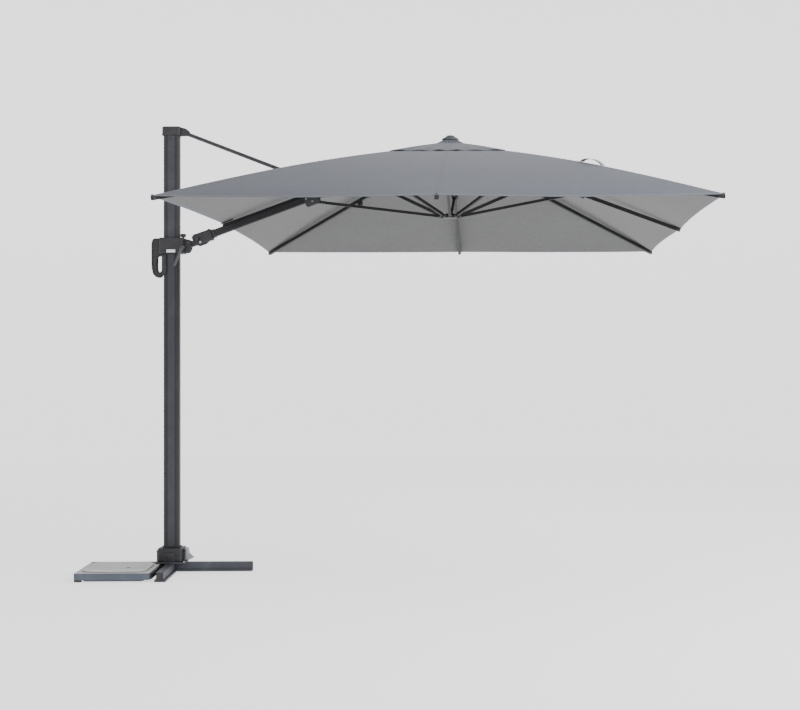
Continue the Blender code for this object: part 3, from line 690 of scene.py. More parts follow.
def build_canopy():
    hem_share = HEM / HALF_Y
    main_rows = wing_rows(VENT_REACH, RIM_REACH - hem_share, 26, [SLOT_NEAR, SLOT_FAR])
    main_rows += [RIM_REACH - hem_share / 2, RIM_REACH]
    cap_rows = wing_rows(0.03, CAP_REACH - 0.012, 12) + [CAP_REACH - 0.006, CAP_REACH]
    cap_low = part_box("vent_canopy")[0].z + FABRIC_T
    cap_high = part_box("vent_canopy")[1].z

    def cap_height(x, y, reach):
        share = reach / CAP_REACH
        cone = 0.013 * max(0.0, 1 - reach / 0.09) ** 2
        return cap_high - (cap_high - cap_low + 0.0055) * share + 0.006 * math.sin(math.pi * share) + cone

    for rib in RIB_NAMES:
        body = "arm" if rib == "arm" else "rib_" + rib
        columns = fine_columns(14)
        slot = None
        if rib == "arm":
            columns = sorted(set(columns) | {SLOT_SIDE})
            slot = (SLOT_NEAR, SLOT_FAR, SLOT_SIDE)
        spec = {"rib": rib, "rows": main_rows, "columns": columns, "height": canopy_height, "hem_rows": 3,
                "slot": slot, "sag": 0.007, "scallop": 0.019,
                "pleat": 0.0012}
        wing = piece("canopy_wing_" + rib, cloth_wing(rib, spec), [TOP_CLOTH, UNDER_CLOTH_PAINTED_LIGHT, LIT_HEM_CLOTH], body,
                     "canopy" if rib == "arm" else (), smooth=50)
        fold_with(wing)
        spec = {"rib": rib, "rows": cap_rows, "columns": fine_columns(12), "height": cap_height, "hem_rows": 3,
                "slot": None, "sag": 0.002, "scallop": 0.03, "pleat": 0.0016, "wave": 0.007, "waves": 3}
        cap = piece("vent_wing_" + rib, cloth_wing(rib, spec), [TOP_CLOTH, UNDER_CLOTH_PAINTED_LIGHT, LIT_HEM_CLOTH], body,
                    "vent_canopy" if rib == "arm" else (), smooth=50)
        fold_with(cap)


# ---------------------------------------------------------------- canopy frame's fittings


def rib_place(rib):
    joint = JOINTS[f"rib_{rib}_fold"]
    pivot = Vector(joint["pos_m"])
    low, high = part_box("rib_" + rib)
    sx, sy = RIB_NAMES[rib]
    tip = Vector((HUB_X + sx * 1.5, sy * 2.0, low.z + 0.0117))
    return frame_at(pivot, tip - pivot), (tip - pivot).length


def side_plates(length, height, half_gap, thick):
    """Two rounded plates on either side of a rib."""
    shapes = []
    outline = smooth_outline([(-length / 2, -height / 2), (length / 2, -height / 2), (length / 2, height / 2), (-length / 2, height / 2)], 0.008)
    for side in (-1, 1):
        y = sorted((side * half_gap, side * (half_gap + thick)))
        shapes.append(lying(outline, y[0], y[1], 0.001, 2))
    return merged(shapes)


def plate_bolts(spots, half, radius=0.0052):
    shapes = []
    for x, z in spots:
        for side in (-1, 1):
            head = bolt_head(radius, 0.004, 12)
            turn = Matrix.Rotation(-side * math.pi / 2, 4, "X")
            shapes.append(moved(head, Matrix.Translation((x, side * half, z)) @ turn))
    return fix(merged(shapes))


def build_fittings():
    for rib in RIB_NAMES:
        if rib == "arm":
            continue
        body = "rib_" + rib
        place, length = rib_place(rib)
        outline = rounded(0.0222, 0.0255, 0.006, 4)
        shell = drawn(outline, -0.018, 0.007, 0.003, 3)
        turn = Matrix(((0, 0, 1, 0), (1, 0, 0, 0), (0, 1, 0, 0), (0, 0, 0, 1)))
        end = moved(moved(shell, turn), place @ Matrix.Translation((length - 0.012, 0, 0)))
        piece("rib_end_cap_" + rib, fix(end), BLACK, body)
        tab = smooth_outline([(-0.004, 0.0), (0.01, 0.0), (0.012, 0.012), (0.007, 0.0145), (-0.004, 0.006)], 0.002)
        pull = moved(lying(tab, -0.005, 0.005, 0.0008), place @ Matrix.Translation((length - 0.012, 0, 0.006)))
        piece("pull_tab_" + rib, fix(pull), BLACK, body)
        at = Vector(JOINTS[f"strut_{rib}_fold"]["pos_m"])
        middle = Matrix.Translation(at) @ place.to_3x3().to_4x4()
        plates = moved(side_plates(0.092, 0.033, 0.0166, 0.0032), middle @ Matrix.Translation((0, 0, -0.004)))
        piece("joint_plates_" + rib, fix(plates), DARK, body)
        bolts = plate_bolts([(0, 0), (-0.034, 0.0), (0.034, 0.0)], 0.0198)
        piece("joint_bolts_" + rib, moved(bolts, middle), DARK_ZINC, body)
    place = frame_at(STRUT_ARM, ARM_DIR)
    plates = moved(side_plates(0.098, 0.066, 0.0266, 0.0034), place @ Matrix.Translation((0, 0, 0.012)))
    piece("joint_plates_arm", fix(plates), DARK, "arm")
    bolts = moved(plate_bolts([(0, 0), (-0.034, 0.028), (0.034, 0.028)], 0.0300, 0.006), place)
    piece("joint_bolts_arm", bolts, ZINC, "arm")
    collar = rounded(0.047, 0.055, 0.009, 5)
    turn = Matrix(((0, 0, 1, 0), (1, 0, 0, 0), (0, 1, 0, 0), (0, 0, 0, 1)))
    start = frame_at(ARM_START, ARM_DIR)
    ring = moved(moved(drawn(collar, 0.0775, 0.098, 0.003, 3), turn), start)
    piece("arm_collar", fix(ring), DARK, "arm")
    pad = smooth_outline([(-0.045, -0.0035), (0.03, -0.0035), (0.045, 0.0), (0.03, 0.0035), (-0.045, 0.0035)], 0.004)
    loop_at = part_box("arm_rail")[0]
    strap = moved(lying(pad, -0.013, 0.013, 0.001), frame_at(Vector((loop_at.x + 0.035, 0, loop_at.z + 0.032)), ARM_DIR))
    piece("hem_clip", fix(strap), BLACK, "arm")
    bracket = smooth_outline([(-0.02, -0.012), (0.02, -0.012), (0.014, -0.04), (-0.014, -0.04)], 0.006)
    place, length = rib_place("far_left")
    hook = moved(lying(bracket, -0.012, 0.012, 0.002), place @ Matrix.Translation((1.1, 0, 0)))
    piece("rib_hook", fix(hook), BLACK, "rib_far_left")


def build_hubs():
    profile = [(0, -0.0125), (0.044, -0.0125), (0.047, -0.0105), (0.047, 0.0085), (0.044, 0.0115), (0.03, 0.0125), (0.028, 0.017), (0.012, 0.018), (0, 0.018)]
    core = moved(turned(profile, 64), Matrix.Translation(LOWER_HUB))
    shapes = [core]
    for rib in RIB_NAMES:
        out = Vector((*tip_of(rib).normalized(), 0))
        place = frame_at(LOWER_HUB, out)
        for side in (-1, 1):
            ear = smooth_outline([(0.03, -0.0115), (0.068, -0.0105), (0.0755, 0.0), (0.068, 0.0095), (0.03, 0.0105)], 0.006)
            y = sorted((side * 0.0042, side * 0.0092))
            shapes.append(moved(lying(ear, y[0], y[1], 0.0008), place))
    piece("lower_hub_body", fix(merged(shapes)), DARK, "lower_hub", "lower_hub")
    pins = []
    for rib in RIB_NAMES:
        out = Vector((*tip_of(rib).normalized(), 0))
        place = frame_at(LOWER_HUB, out)
        pins.append(moved(across(0.003, -0.0108, 0.0108, 16, 0.001), place @ Matrix.Translation((STRUT_PIVOT_R, 0, 0))))
    piece("lower_hub_pins", fix(merged(pins)), ZINC, "lower_hub")
    pins = []
    for rib in RIB_NAMES:
        out = Vector((*tip_of(rib).normalized(), 0))
        place = frame_at(Vector((HUB_X, 0, JOINTS["hub_level"]["pos_m"][2])), out)
        pins.append(moved(across(0.0032, -0.0165, 0.0165, 16, 0.001), place @ Matrix.Translation((0.06, 0, 0))))
    piece("top_hub_pins", fix(merged(pins)), ZINC, "top_hub")
    low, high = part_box("finial")
    top = high.z
    base = top - 0.041
    profile = [(0, base - 0.002), (0.044, base - 0.002), (0.050, base + 0.006), (0.0550, base + 0.0100),
               (0.0560, base + 0.0130), (0.0550, base + 0.0165), (0.0515, base + 0.0205), (0.043, base + 0.0245),
               (0.034, base + 0.0290), (0.0275, base + 0.0345), (0.0240, base + 0.0385), (0.017, base + 0.0405),
               (0, base + 0.041)]
    cap = moved(turned(profile, 72), Matrix.Translation((HUB_X, 0, 0)))
    piece("finial_cap", fix(cap), FINIAL, "top_hub", "finial")
    shape = bmesh.new()
    rows = []
    for r, z, pleat in ((0.044, base + 0.004, 0.0), (0.056, base + 0.0025, 0.003), (0.066, base - 0.003, 0.005), (0.080, base - 0.0125, 0.006), (0.090, base - 0.0175, 0.005), (0.0895, base - 0.0192, 0.005), (0.078, base - 0.015, 0.006), (0.064, base - 0.006, 0.005), (0.044, base - 0.001, 0.0)):
        row = []
        for i in range(96):
            angle = 2 * math.pi * i / 96
            wave = pleat * math.cos(angle * 24)
            row.append(shape.verts.new((HUB_X + (r + wave) * math.cos(angle), (r + wave) * math.sin(angle), z + 0.3 * wave)))
        rows.append(row)
    for k in range(len(rows)):
        a, b = rows[k], rows[(k + 1) % len(rows)]
        for i in range(96):
            shape.faces.new((a[i], a[(i + 1) % 96], b[(i + 1) % 96], b[i]))
    collar = piece("gathered_collar", fix(shape), LIT_HEM_CLOTH, "top_hub")


def build_tie_strap():
    """A webbing loop on the near right hip, sewn down at both ends."""
    out = Vector((*tip_of("near_right").normalized(), 0))
    place_at = []
    steps = 28
    width, thick, start, end = 0.03, 0.0018, 1.33, 1.54
    for i in range(steps + 1):
        t = i / steps
        d = start + (end - start) * t
        plan = out * d
        reach = plan.x / HALF_X
        z = canopy_height(plan.x, plan.y, reach) + 0.0018
        arch = 0.025 * math.sin(math.pi * min(1, max(0, (t - 0.08) / 0.84))) ** 0.6
        place_at.append(Vector((HUB_X + plan.x, plan.y, z + arch)))
    side = Vector((-out.y, out.x, 0)) * width / 2
    shape = bmesh.new()
    rows = []
    for p in place_at:
        rows.append([shape.verts.new(p + side), shape.verts.new(p - side), shape.verts.new(p - side + Vector((0, 0, thick))), shape.verts.new(p + side + Vector((0, 0, thick)))])
    for a, b in zip(rows, rows[1:]):
        for i in range(4):
            j = (i + 1) % 4
            shape.faces.new((a[i], a[j], b[j], b[i]))
    shape.faces.new(rows[0])
    shape.faces.new(rows[-1])
    strap = piece("tie_strap", fix(shape), WEBBING, "rib_near_right")


# ---------------------------------------------------------------- mast, slider, elbow, rod


def build_mast():
    width, depth = MAST_HIGH.x - MAST_LOW.x, MAST_HIGH.y - MAST_LOW.y
    outline = []
    seam_groove_shade, lip, radius = 0.0018, 0.0025, 0.014
    for x, y in rounded(width, depth, radius, 8):
        outline.append((x, y))
    fluted = []
    for i, (x, y) in enumerate(outline):
        fluted.append((x, y))
        nx, ny = outline[(i + 1) % len(outline)]
        if abs(y - ny) < 1e-6 and abs(x - nx) > 0.03:
            sign = 1 if nx > x else -1
            inward = -1 if y > 0 else 1
            for at in (-0.026, 0.026):
                at *= sign
                fluted.append((at - sign * lip, y))
                fluted.append((at - sign * lip * 0.4, y + inward * seam_groove_shade))
                fluted.append((at + sign * lip * 0.4, y + inward * seam_groove_shade))
                fluted.append((at + sign * lip, y))
    shape = drawn(fluted, MAST_LOW.z, MAST_HIGH.z)
    # Painted highlight: the middle strip of the front and back faces, between the flutes, takes the lighter band coat.
    for face in shape.faces:
        c = face.calc_center_median()
        if abs(c.x) < 0.0236 and abs(c.y) > depth / 2 - 0.0005:
            face.material_index = 1
    piece("mast_profile", fix(shape), [MAST, MAST_HIGHLIGHT_BAND], "mast", "mast_tube")
    low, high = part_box("mast_cap")
    shapes = [drawn(rounded(0.122, 0.078, 0.018, 8), MAST_HIGH.z + 0.0005, high.z, 0.008, 5)]
    shapes.append(drawn(rounded(0.126, 0.0775, 0.019, 8), MAST_HIGH.z + 0.0005, MAST_HIGH.z + 0.012, 0.002, 3))
    x, z = CAP_PIVOT.x, CAP_PIVOT.z
    ear = smooth_outline([(0.05, z - 0.0205), (x + 0.012, z - 0.0205), (0.116, z - 0.010), (0.117, z + 0.006), (x + 0.016, z + 0.026), (0.05, z + 0.036)], 0.014, 8)
    for side in (-1, 1):
        y = sorted((side * 0.0138, side * 0.021))
        shapes.append(lying(ear, y[0], y[1], 0.0015, 3))
    piece("mast_head", fix(merged(shapes)), DARK, "mast", "mast_cap")
    pin = moved(across(0.0058, -0.0235, 0.0235, 24, 0.0015), Matrix.Translation((x, 0, z)))
    piece("cap_pin_heads", fix(pin), DARK_ZINC, "mast", "cap_pin")
    foot = []
    ring = drawn(rounded(width + 0.016, depth + 0.016, 0.02, 8), 0.1585, 0.1685, 0.003, 3)
    foot.append(ring)
    piece("mast_foot_ring", fix(merged(foot)), BLACK, "mast")


def build_slider():
    low, high = SLIDER_LOW, SLIDER_HIGH
    left, right, deep = -0.078, 0.086, 0.054
    body = drawn(smooth_outline([(left, -deep), (right, -deep), (right, deep), (left, deep)], 0.016, 8), low.z, high.z, 0.006, 4)
    hood = drawn(smooth_outline([(left + 0.004, -deep + 0.004), (right - 0.004, -deep + 0.004), (right - 0.004, deep - 0.004), (left + 0.004, deep - 0.004)], 0.014, 8), high.z - 0.008, high.z + 0.0002, 0.003, 3)
    lower = drawn(smooth_outline([(left - 0.0012, -deep - 0.0012), (right + 0.0012, -deep - 0.0012), (right + 0.0012, deep + 0.0012), (left - 0.0012, deep + 0.0012)], 0.017, 8), low.z + 0.012, low.z + 0.018, 0.001, 2)
    x, z = ELBOW.x, ELBOW.z
    lug = smooth_outline([(0.06, low.z + 0.004), (x + 0.004, low.z + 0.006), (x + 0.0185, z - 0.035), (x + 0.021, z - 0.008), (x + 0.018, z + 0.014), (x + 0.004, z + 0.021), (0.06, z + 0.026)], 0.012, 8)
    shapes = [body, hood, lower]
    for side in (-1, 1):
        y = sorted((side * 0.0165, side * 0.0255))
        shapes.append(lying(lug, y[0], y[1], 0.002, 3))
    piece("slider_shell", fix(merged(shapes)), DARK, "slider", "slider_housing")
    heads = []
    for side in (-1, 1):
        turn = Matrix.Rotation(-side * math.pi / 2, 4, "X")
        heads.append(moved(bolt_head(0.009, 0.0055, 24), Matrix.Translation((x, side * 0.0256, z)) @ turn))
    piece("elbow_pin_heads", fix(merged(heads)), DARK_ZINC, "slider", "elbow_pin")

    hlow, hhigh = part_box("slide_handle")
    outer = smooth_outline([(-0.066, 2.188), (-0.124, 2.188), (-0.134, 2.160), (-0.134, 2.02), (-0.126, 1.955), (-0.100, 1.929), (-0.072, 1.929), (-0.0565, 1.952), (-0.0565, 2.100), (-0.066, 2.100)], 0.013, 6)
    slot = smooth_outline([(-0.0645, 2.07), (-0.0935, 2.07), (-0.0955, 2.0), (-0.0925, 1.975), (-0.083, 1.960), (-0.0645, 1.974)], 0.010, 6)
    grip = ring_plate(outer, slot, Vector((-0.079, 2.02)), 0.0215, 0.006)
    cheek_outline = smooth_outline([(-0.060, 1.95), (-0.052, 1.948), (-0.030, 1.962), (-0.030, 2.081), (-0.060, 2.081)], 0.005, 5)
    cheeks = []
    for side in (-1, 1):
        y = sorted((side * 0.0345, side * 0.0415))
        cheeks.append(lying(cheek_outline, y[0], y[1], 0.0015, 3))
    back = lying(smooth_outline([(-0.0605, 1.95), (-0.0545, 1.948), (-0.0545, 2.081), (-0.0605, 2.081)], 0.003, 4), -0.04, 0.04, 0.001, 2)
    piece("handle_loop", fix(merged([grip, back, *cheeks])), DARK, "slider", "slide_handle")
    pads = []
    for i in range(7):
        z = 1.985 + i * 0.014
        pads.append(lying(smooth_outline([(-0.1352, z), (-0.1352, z + 0.007), (-0.130, z + 0.007), (-0.130, z)], 0.0015, 3), -0.0125, 0.0125, 0.0012, 2))
    piece("grip_ribs", fix(merged(pads)), BLACK, "slider")

    plate_low, plate_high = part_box("blank_plate")
    plate = drawn(rounded(0.058, 0.0185, 0.003, 5), 0, 0.0012, 0.0004, 2)
    place = Matrix.Translation(((plate_low.x + plate_high.x) / 2 + 0.010, -deep - 0.0004, (plate_low.z + plate_high.z) / 2 - 0.002)) @ Matrix.Rotation(math.pi / 2, 4, "X")
    piece("label_plate", fix(moved(plate, place)), LABEL, "slider", "blank_plate")

    pin = Vector(JOINTS["lever_swing"]["pos_m"])
    pivot = moved(across(0.0055, -0.0695, -0.0535, 24, 0.001), Matrix.Translation((pin.x, 0, pin.z)))
    piece("lever_pivot", fix(pivot), DARK_ZINC, "slider", "lever_pin")
    right = [(0.019, 0.010), (0.024, 0.003), (0.012, -0.010), (-0.001, -0.034), (-0.014, -0.064), (-0.026, -0.092), (-0.036, -0.117), (-0.043, -0.1245)]
    left = [(-0.053, -0.1205), (-0.048, -0.105), (-0.037, -0.078), (-0.026, -0.050), (-0.0145, -0.022), (-0.0115, -0.004), (-0.008, 0.009), (0.006, 0.0125)]
    outline = smooth_outline([(pin.x + dx, pin.z + dz) for dx, dz in right + left], 0.012, 4)
    blade = lying(outline, pin.y - 0.0032, pin.y + 0.0032, 0.0013, 3)
    piece("lever_blade", fix(blade), LEVER, "lever", "lock_lever")

    k = middle_of("lock_knob")
    klow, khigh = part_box("lock_knob")
    shape = bmesh.new()
    rows = []
    levels = [(0.0, 0), (0.008, 0), (0.008, 0.006), (0.0155, 0.0075), (0.0172, 0.0095), (0.0174, 0.022), (0.0162, 0.0255), (0.0135, 0.0275), (0.0, 0.028)]
    count = 72
    for r, z in levels:
        row = []
        for i in range(count if r else 1):
            angle = 2 * math.pi * i / count
            lobes = 0.0011 * math.cos(8 * angle) if 0.008 < z < 0.027 and r > 0.015 else 0
            row.append(shape.verts.new((k.x + (r + lobes - 0.0004) * math.cos(angle), k.y + (r + lobes - 0.0004) * math.sin(angle), klow.z + z)) if r else shape.verts.new((k.x, k.y, klow.z + z)))
        rows.append(row)
    for a, b in zip(rows, rows[1:]):
        for i in range(count):
            j = (i + 1) % count
            kept = list(dict.fromkeys([a[i % len(a)], a[j % len(a)], b[j % len(b)], b[i % len(b)]]))
            if len(kept) > 2:
                shape.faces.new(kept)
    piece("knob_grip", fix(shape), BLACK, "knob", "lock_knob")


def build_elbow():
    place = frame_at(ARM_START, ARM_DIR)
    turn = Matrix(((0, 0, 1, 0), (1, 0, 0, 0), (0, 1, 0, 0), (0, 0, 0, 1)))
    body = moved(drawn(rounded(0.056, 0.074, 0.014, 8), -0.047, 0.076, 0.004, 4), turn)
    bands = []
    for x in (-0.040, 0.058):
        bands.append(moved(drawn(rounded(0.0605, 0.0785, 0.016, 8), x, x + 0.012, 0.002, 3), turn))
    rib = lying(smooth_outline([(-0.040, -0.036), (0.045, -0.036), (0.020, -0.0475), (-0.030, -0.0475)], 0.003, 4), -0.008, 0.008, 0.001, 2)
    shape = merged([body, *bands, rib])
    piece("sleeve_shell", fix(moved(shape, place)), DARK, "arm", "tilt_sleeve")
    x = -0.025
    profile = [(0, 0.0284), (0.0088, 0.0284), (0.0098, 0.030), (0.0098, 0.0345), (0.0112, 0.036), (0.0112, 0.047), (0.0098, 0.0495), (0.0045, 0.0495), (0.004, 0.0478), (0, 0.0478)]
    knob = moved(turned(profile, 40), Matrix.Rotation(math.pi / 2, 4, "X"))
    ring_shape = bmesh.new()
    rows = []
    for i in range(40):
        angle = 2 * math.pi * i / 40
        centre = Vector((0.0108 * math.cos(angle), -0.0518, 0.0108 * math.sin(angle)))
        out = Vector((math.cos(angle), 0, math.sin(angle)))
        rows.append([ring_shape.verts.new(centre + out * 0.0014 * math.cos(math.pi * s / 5) + Vector((0, 0.0014 * math.sin(math.pi * s / 5), 0))) for s in range(10)])
    for i in range(40):
        a, b = rows[i], rows[(i + 1) % 40]
        for s in range(10):
            ring_shape.faces.new((a[s], a[(s + 1) % 10], b[(s + 1) % 10], b[s]))
    spot = place @ Matrix.Translation((x, 0, 0))
    piece("plunger_knob", fix(moved(knob, spot)), DARK_ZINC, "plunger", "tilt_plunger")
    piece("plunger_ring", fix(moved(ring_shape, spot)), DARK_ZINC, "plunger")
    rivets = plate_bolts([(-0.013, -0.0255)], 0.0281, 0.0078)
    piece("sleeve_rivets", fix(moved(rivets, place)), ZINC, "arm")
    guard = turned([(0, 0), (0.0145, 0), (0.0145, 0.0022), (0.0115, 0.0035), (0, 0.0035)], 40)
    guard = moved(moved(guard, Matrix.Rotation(math.pi / 2, 4, "X")), place @ Matrix.Translation((x, -0.0243, 0)))
    piece("plunger_seat", fix(guard), BLACK, "arm")


def build_rod_ends():
    stay = Vector(JOINTS["stay_swing"]["pos_m"])
    low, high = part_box("rod_fork")
    x_axis = (Vector((high.x, 0, low.z)) - stay).normalized()
    arm_at = ARM_START + ARM_DIR * ((1.06 - ARM_START.x) / ARM_DIR.x)
    place = frame_at(stay, arm_at - stay)
    length = (arm_at - stay).length
    bolts = plate_bolts([(length, 0.0)], 0.0371, 0.0075)
    piece("stay_bolt", fix(moved(bolts, place)), DARK_ZINC, "stay")
    turn = Matrix(((0, 0, 1, 0), (1, 0, 0, 0), (0, 1, 0, 0), (0, 0, 0, 1)))
    rings = []
    for x in (0.021, length - 0.215):
        rings.append(moved(moved(drawn(rounded(0.0285, 0.0275, 0.008, 6), x, x + 0.012, 0.002, 3), turn), place))
    piece("rod_rings", fix(merged(rings)), BLACK, "stay")
    strips = []
    for side in (-1, 1):
        outline = smooth_outline([(0.04, -0.0035), (length - 0.22, -0.0035), (length - 0.22, 0.0035), (0.04, 0.0035)], 0.003, 3)
        y = sorted((side * 0.0123, side * 0.0134))
        strips.append(moved(lying(outline, y[0], y[1], 0.0004, 2), place))
    piece("rod_strips", fix(merged(strips)), MAST, "stay")


# ---------------------------------------------------------------- base


def build_base():
    turn = Matrix.Rotation(BASE_TURN, 4, "Z")
    low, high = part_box("swivel_collar")
    cheek_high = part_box("collar_cheek_right")[1]
    shapes = [drawn(rounded(0.158, 0.158, 0.016, 8), low.z, high.z, 0.006, 4)]
    shapes.append(drawn(rounded(0.1565, 0.1565, 0.018, 8), low.z + 0.001, low.z + 0.014, 0.003, 3))
    front = lying(smooth_outline([(-0.036, low.z), (0.036, low.z), (0.036, low.z + 0.052), (0.028, low.z + 0.06), (-0.028, low.z + 0.06), (-0.036, low.z + 0.052)], 0.006, 5), -0.090, -0.070, 0.003, 3)
    rear = lying(smooth_outline([(-0.036, low.z), (0.036, low.z), (0.036, low.z + 0.06), (-0.036, low.z + 0.06)], 0.006, 5), 0.070, 0.090, 0.003, 3)
    piece("collar_shell", fix(merged([*shapes, front, rear])), DARK, "base", "swivel_collar")
    for name, side in (("left", -1), ("right", 1)):
        y_out = []
        outline = smooth_outline([(-0.045, low.z), (0.045, low.z), (0.045, cheek_high.z - 0.016), (0.033, cheek_high.z), (-0.033, cheek_high.z), (-0.045, cheek_high.z - 0.016)], 0.008, 6)
        cheek = lying(outline, *sorted((side * 0.0775, side * 0.092)), 0.003, 3)
        cheek = moved(cheek, Matrix.Rotation(-math.pi / 2, 4, "Z"))
        piece(f"cheek_shell_{name}", fix(cheek), DARK, "base", f"collar_cheek_{name}")
    bolts = []
    for side in (-1, 1):
        for y in (-0.036, 0.036):
            head = bolt_head(0.0055, 0.0035, 6)
            spot = Matrix.Translation((side * 0.0919, y, low.z + 0.062)) @ Matrix.Rotation(side * math.pi / 2, 4, "Y")
            bolts.append(moved(head, spot))
    for x in (-0.022, 0.022):
        head = bolt_head(0.0058, 0.0035, 6)
        bolts.append(moved(head, Matrix.Translation((x, -0.0899, low.z + 0.03)) @ Matrix.Rotation(math.pi / 2, 4, "X")))
    piece("collar_bolts", fix(merged(bolts)), DARK_ZINC, "base")

    for i in range(4):
        blow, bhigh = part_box(f"base_bolt_{i + 1}")
        c = (blow + bhigh) / 2
        washer = turned([(0, 0), (0.0105, 0), (0.0105, 0.0012), (0.0098, 0.0016), (0, 0.0016)], 32)
        head = moved(bolt_head(0.0082, 0.0052, 6, False), Matrix.Translation((0, 0, 0.0016)))
        shape = moved(merged([washer, head]), Matrix.Translation((c.x, c.y, blow.z)) @ turn)
        piece(f"hex_bolt_{i + 1}", fix(shape), ZINC, "base", f"base_bolt_{i + 1}")

    plow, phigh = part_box("foot_pedal")
    reach = plow.x
    outline = smooth_outline([(reach, 0.0795), (0.125, 0.079), (0.1425, 0.0875), (0.1425, 0.0935), (0.130, 0.0975), (0.1145, 0.115), (0.1065, 0.1555), (reach, 0.1555)], 0.004, 6)
    plate = lying(outline, -0.0235, 0.0235, 0.002, 3)
    ridges = []
    for i in range(5):
        y = -0.018 + i * 0.009
        ridges.append(lying(smooth_outline([(0.112, 0.117), (0.130, 0.0965), (0.140, 0.0930), (0.1405, 0.0952), (0.131, 0.0990), (0.1145, 0.118)], 0.001, 3), y - 0.0012, y + 0.0012))
    piece("pedal_plate", fix(merged([plate, *ridges])), PALE, "pedal", "foot_pedal")

    slow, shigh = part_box("ballast_slab")
    centre = (slow + shigh) / 2
    size_x, size_y, top = 0.47, 0.50, shigh.z
    lid_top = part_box("ballast_lid")[1].z
    place = Matrix.Translation((centre.x, centre.y, 0)) @ turn
    shell = drawn(rounded(size_x, size_y, 0.009, 6), 0.0137, top, 0.003, 4)
    foot = drawn(rounded(size_x - 0.09, size_y - 0.09, 0.032, 8), 0.0, 0.03, 0.002, 2)
    band = drawn(rounded(size_x + 0.0006, size_y + 0.0006, 0.009, 6), top - 0.0105, top - 0.0065, 0.001, 2)
    piece("slab_shell", fix(moved(merged([shell, foot, band]), place)), SLAB, "base", "ballast_slab")
    rim = drawn(rounded(size_x - 0.006, size_y - 0.006, 0.01, 6), top - 0.002, top + 0.0016, 0.0012, 3)
    lid = drawn(rounded(size_x - 0.07, size_y - 0.07, 0.09, 14), top + 0.001, lid_top, 0.006, 5)
    piece("slab_top", fix(moved(merged([rim, lid]), place)), LID, "base", "ballast_lid")
    # The black ring at the lid's foot is partly the seam and partly painted shadow, standing in for the shadow line
    # under the lid's edge.
    seam_groove_shade = drawn(rounded(size_x - 0.06, size_y - 0.06, 0.094, 14), top - 0.001, top + 0.0022, 0.0006, 2)
    piece("lid_seam_and_shadow_line", fix(moved(seam_groove_shade, place)), BLACK, "base")
    grips = []
    for sx, sy in ((-1, -1), (-1, 1)):
        grip = drawn(rounded(0.046, 0.03, 0.006, 4), 0.0012, 0.0135, 0.001, 2)
        grips.append(moved(grip, Matrix.Translation((sx * (size_x / 2 - 0.024), sy * (size_y / 2 - 0.018), 0))))
    # The black rail along the slab's right side is partly a black rail and partly painted shade, darkening a side that
    # the key lamp would light.
    rail = drawn(rounded(0.010, size_y - 0.03, 0.004, 4), 0.016, top - 0.002, 0.002, 2)
    grips.append(moved(rail, Matrix.Translation((size_x / 2 + 0.0035, 0, 0))))
    spout = turned([(0, lid_top - 0.001), (0.012, lid_top - 0.001), (0.012, lid_top + 0.0008), (0.0105, lid_top + 0.0014), (0.0045, lid_top + 0.0014), (0.004, lid_top + 0.0005), (0, lid_top + 0.0005)], 32)
    grips.append(moved(spout, Matrix.Translation((0.075, -0.09, 0))))
    piece("slab_grips_and_shade_rail", fix(moved(merged(grips), place)), BLACK, "base")


def paint_frame():
    """The CAD nodes that stay get the right materials."""
    paints = {
        "arm_tube": ARM, "arm_tongue": DARK, "arm_rail": DARK, "stay_rod": ROD, "rod_eye": DARK, "rod_fork": DARK,
        "elbow_knuckle": DARK, "top_hub": DARK, "cross_beam": STEEL, "front_half_beam": STEEL,
        "rear_half_beam": STEEL, "centre_plate": STEEL, "mast_spigot": STEEL, "bearing_ring": BLACK,
    }
    for node, made in frame["nodes"].items():
        if node.startswith(("rib_", "strut_")):
            paint = FRAME
        elif node.endswith("_plug"):
            paint = DARK
        else:
            paint = paints.get(node)
        if paint:
            made.data.materials.clear()
            made.data.materials.append(paint)


# ---------------------------------------------------------------- stage, light, camera


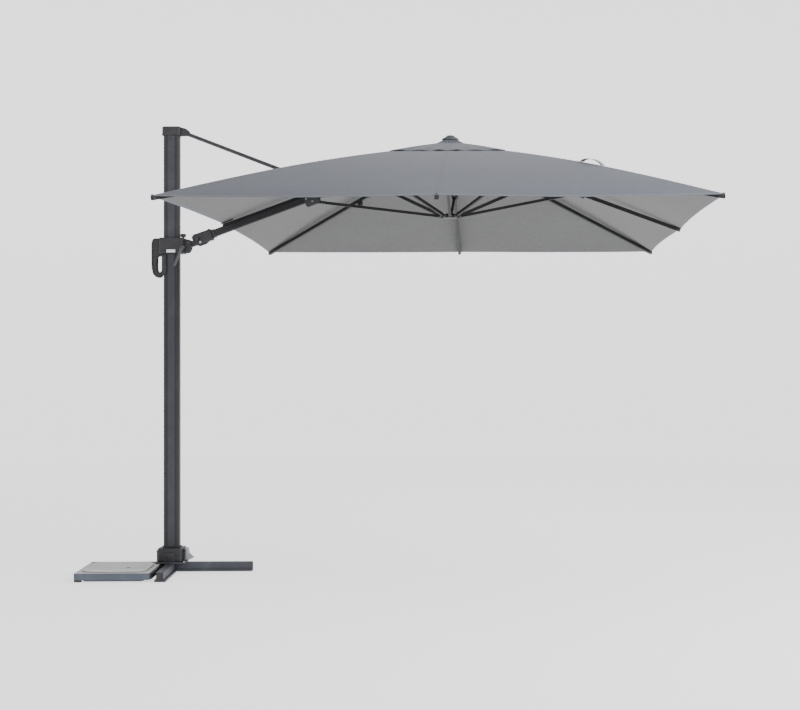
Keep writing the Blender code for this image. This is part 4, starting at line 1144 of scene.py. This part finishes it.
def build_stage():
    flat, rise, steps = 14.0, 5.0, 16
    profile = [(0, 0.0), (flat, 0.0)]
    for i in range(1, steps + 1):
        angle = math.pi / 2 * i / steps
        profile.append((flat + rise * math.sin(angle), rise * (1 - math.cos(angle))))
    profile.append((flat + rise, 10.0))
    shape = moved(turned(profile, 96), Matrix.Translation((1.4, 0, -0.0005)))
    mesh = bpy.data.meshes.new("studio_floor")
    shape.to_mesh(mesh)
    shape.free()
    mesh.shade_smooth()
    floor_mat = Nodes("studio_paint")
    floor_mat.set(Base_Color=(0.6, 0.6, 0.6, 1), Roughness=0.95)
    floor_mat.shader.inputs["Emission Color"].default_value = (1, 1, 1, 1)
    floor_mat.shader.inputs["Emission Strength"].default_value = 1.15
    mesh.materials.append(floor_mat.material)
    made = bpy.data.objects.new("studio_floor", mesh)
    bpy.context.scene.collection.objects.link(made)

    world = bpy.data.worlds.new("studio")
    bpy.context.scene.world = world
    world.use_nodes = True
    back = world.node_tree.nodes["Background"]
    back.inputs["Color"].default_value = (0.97, 0.985, 1.0, 1)
    back.inputs["Strength"].default_value = 0.7

    def lamp(name, place, target, size_m, power, colour=(1, 1, 1)):
        data = bpy.data.lights.new(name, "AREA")
        data.shape = "RECTANGLE"
        data.size, data.size_y = size_m
        data.energy = power
        data.color = colour
        made = bpy.data.objects.new(name, data)
        made.location = place
        aim = Vector(target) - Vector(place)
        made.rotation_euler = aim.to_track_quat("-Z", "Y").to_euler()
        bpy.context.scene.collection.objects.link(made)

    lamp("key", (6.6, -4.2, 4.6), (2.8, 0, 2.2), (3, 3), 540, (1, 0.99, 0.98))
    lamp("back", (2.6, 5.5, 6.5), (1.8, 0, 2.0), (6, 3), 120)


def build_camera():
    data = bpy.data.cameras.new("camera")
    data.sensor_width = 36
    data.lens = 68.78
    data.shift_x = -0.0784
    data.shift_y = 0.0131
    data.clip_end = 100
    made = bpy.data.objects.new("camera", data)
    made.location = (2.197, -10.001, 1.352)
    made.rotation_euler = (math.pi / 2, 0, 0.0284)
    bpy.context.scene.collection.objects.link(made)
    bpy.context.scene.camera = made


build_camera()
build_stage()
paint_frame()
build_canopy()
build_fittings()
build_hubs()
build_tie_strap()
build_mast()
build_slider()
build_elbow()
build_rod_ends()
build_base()
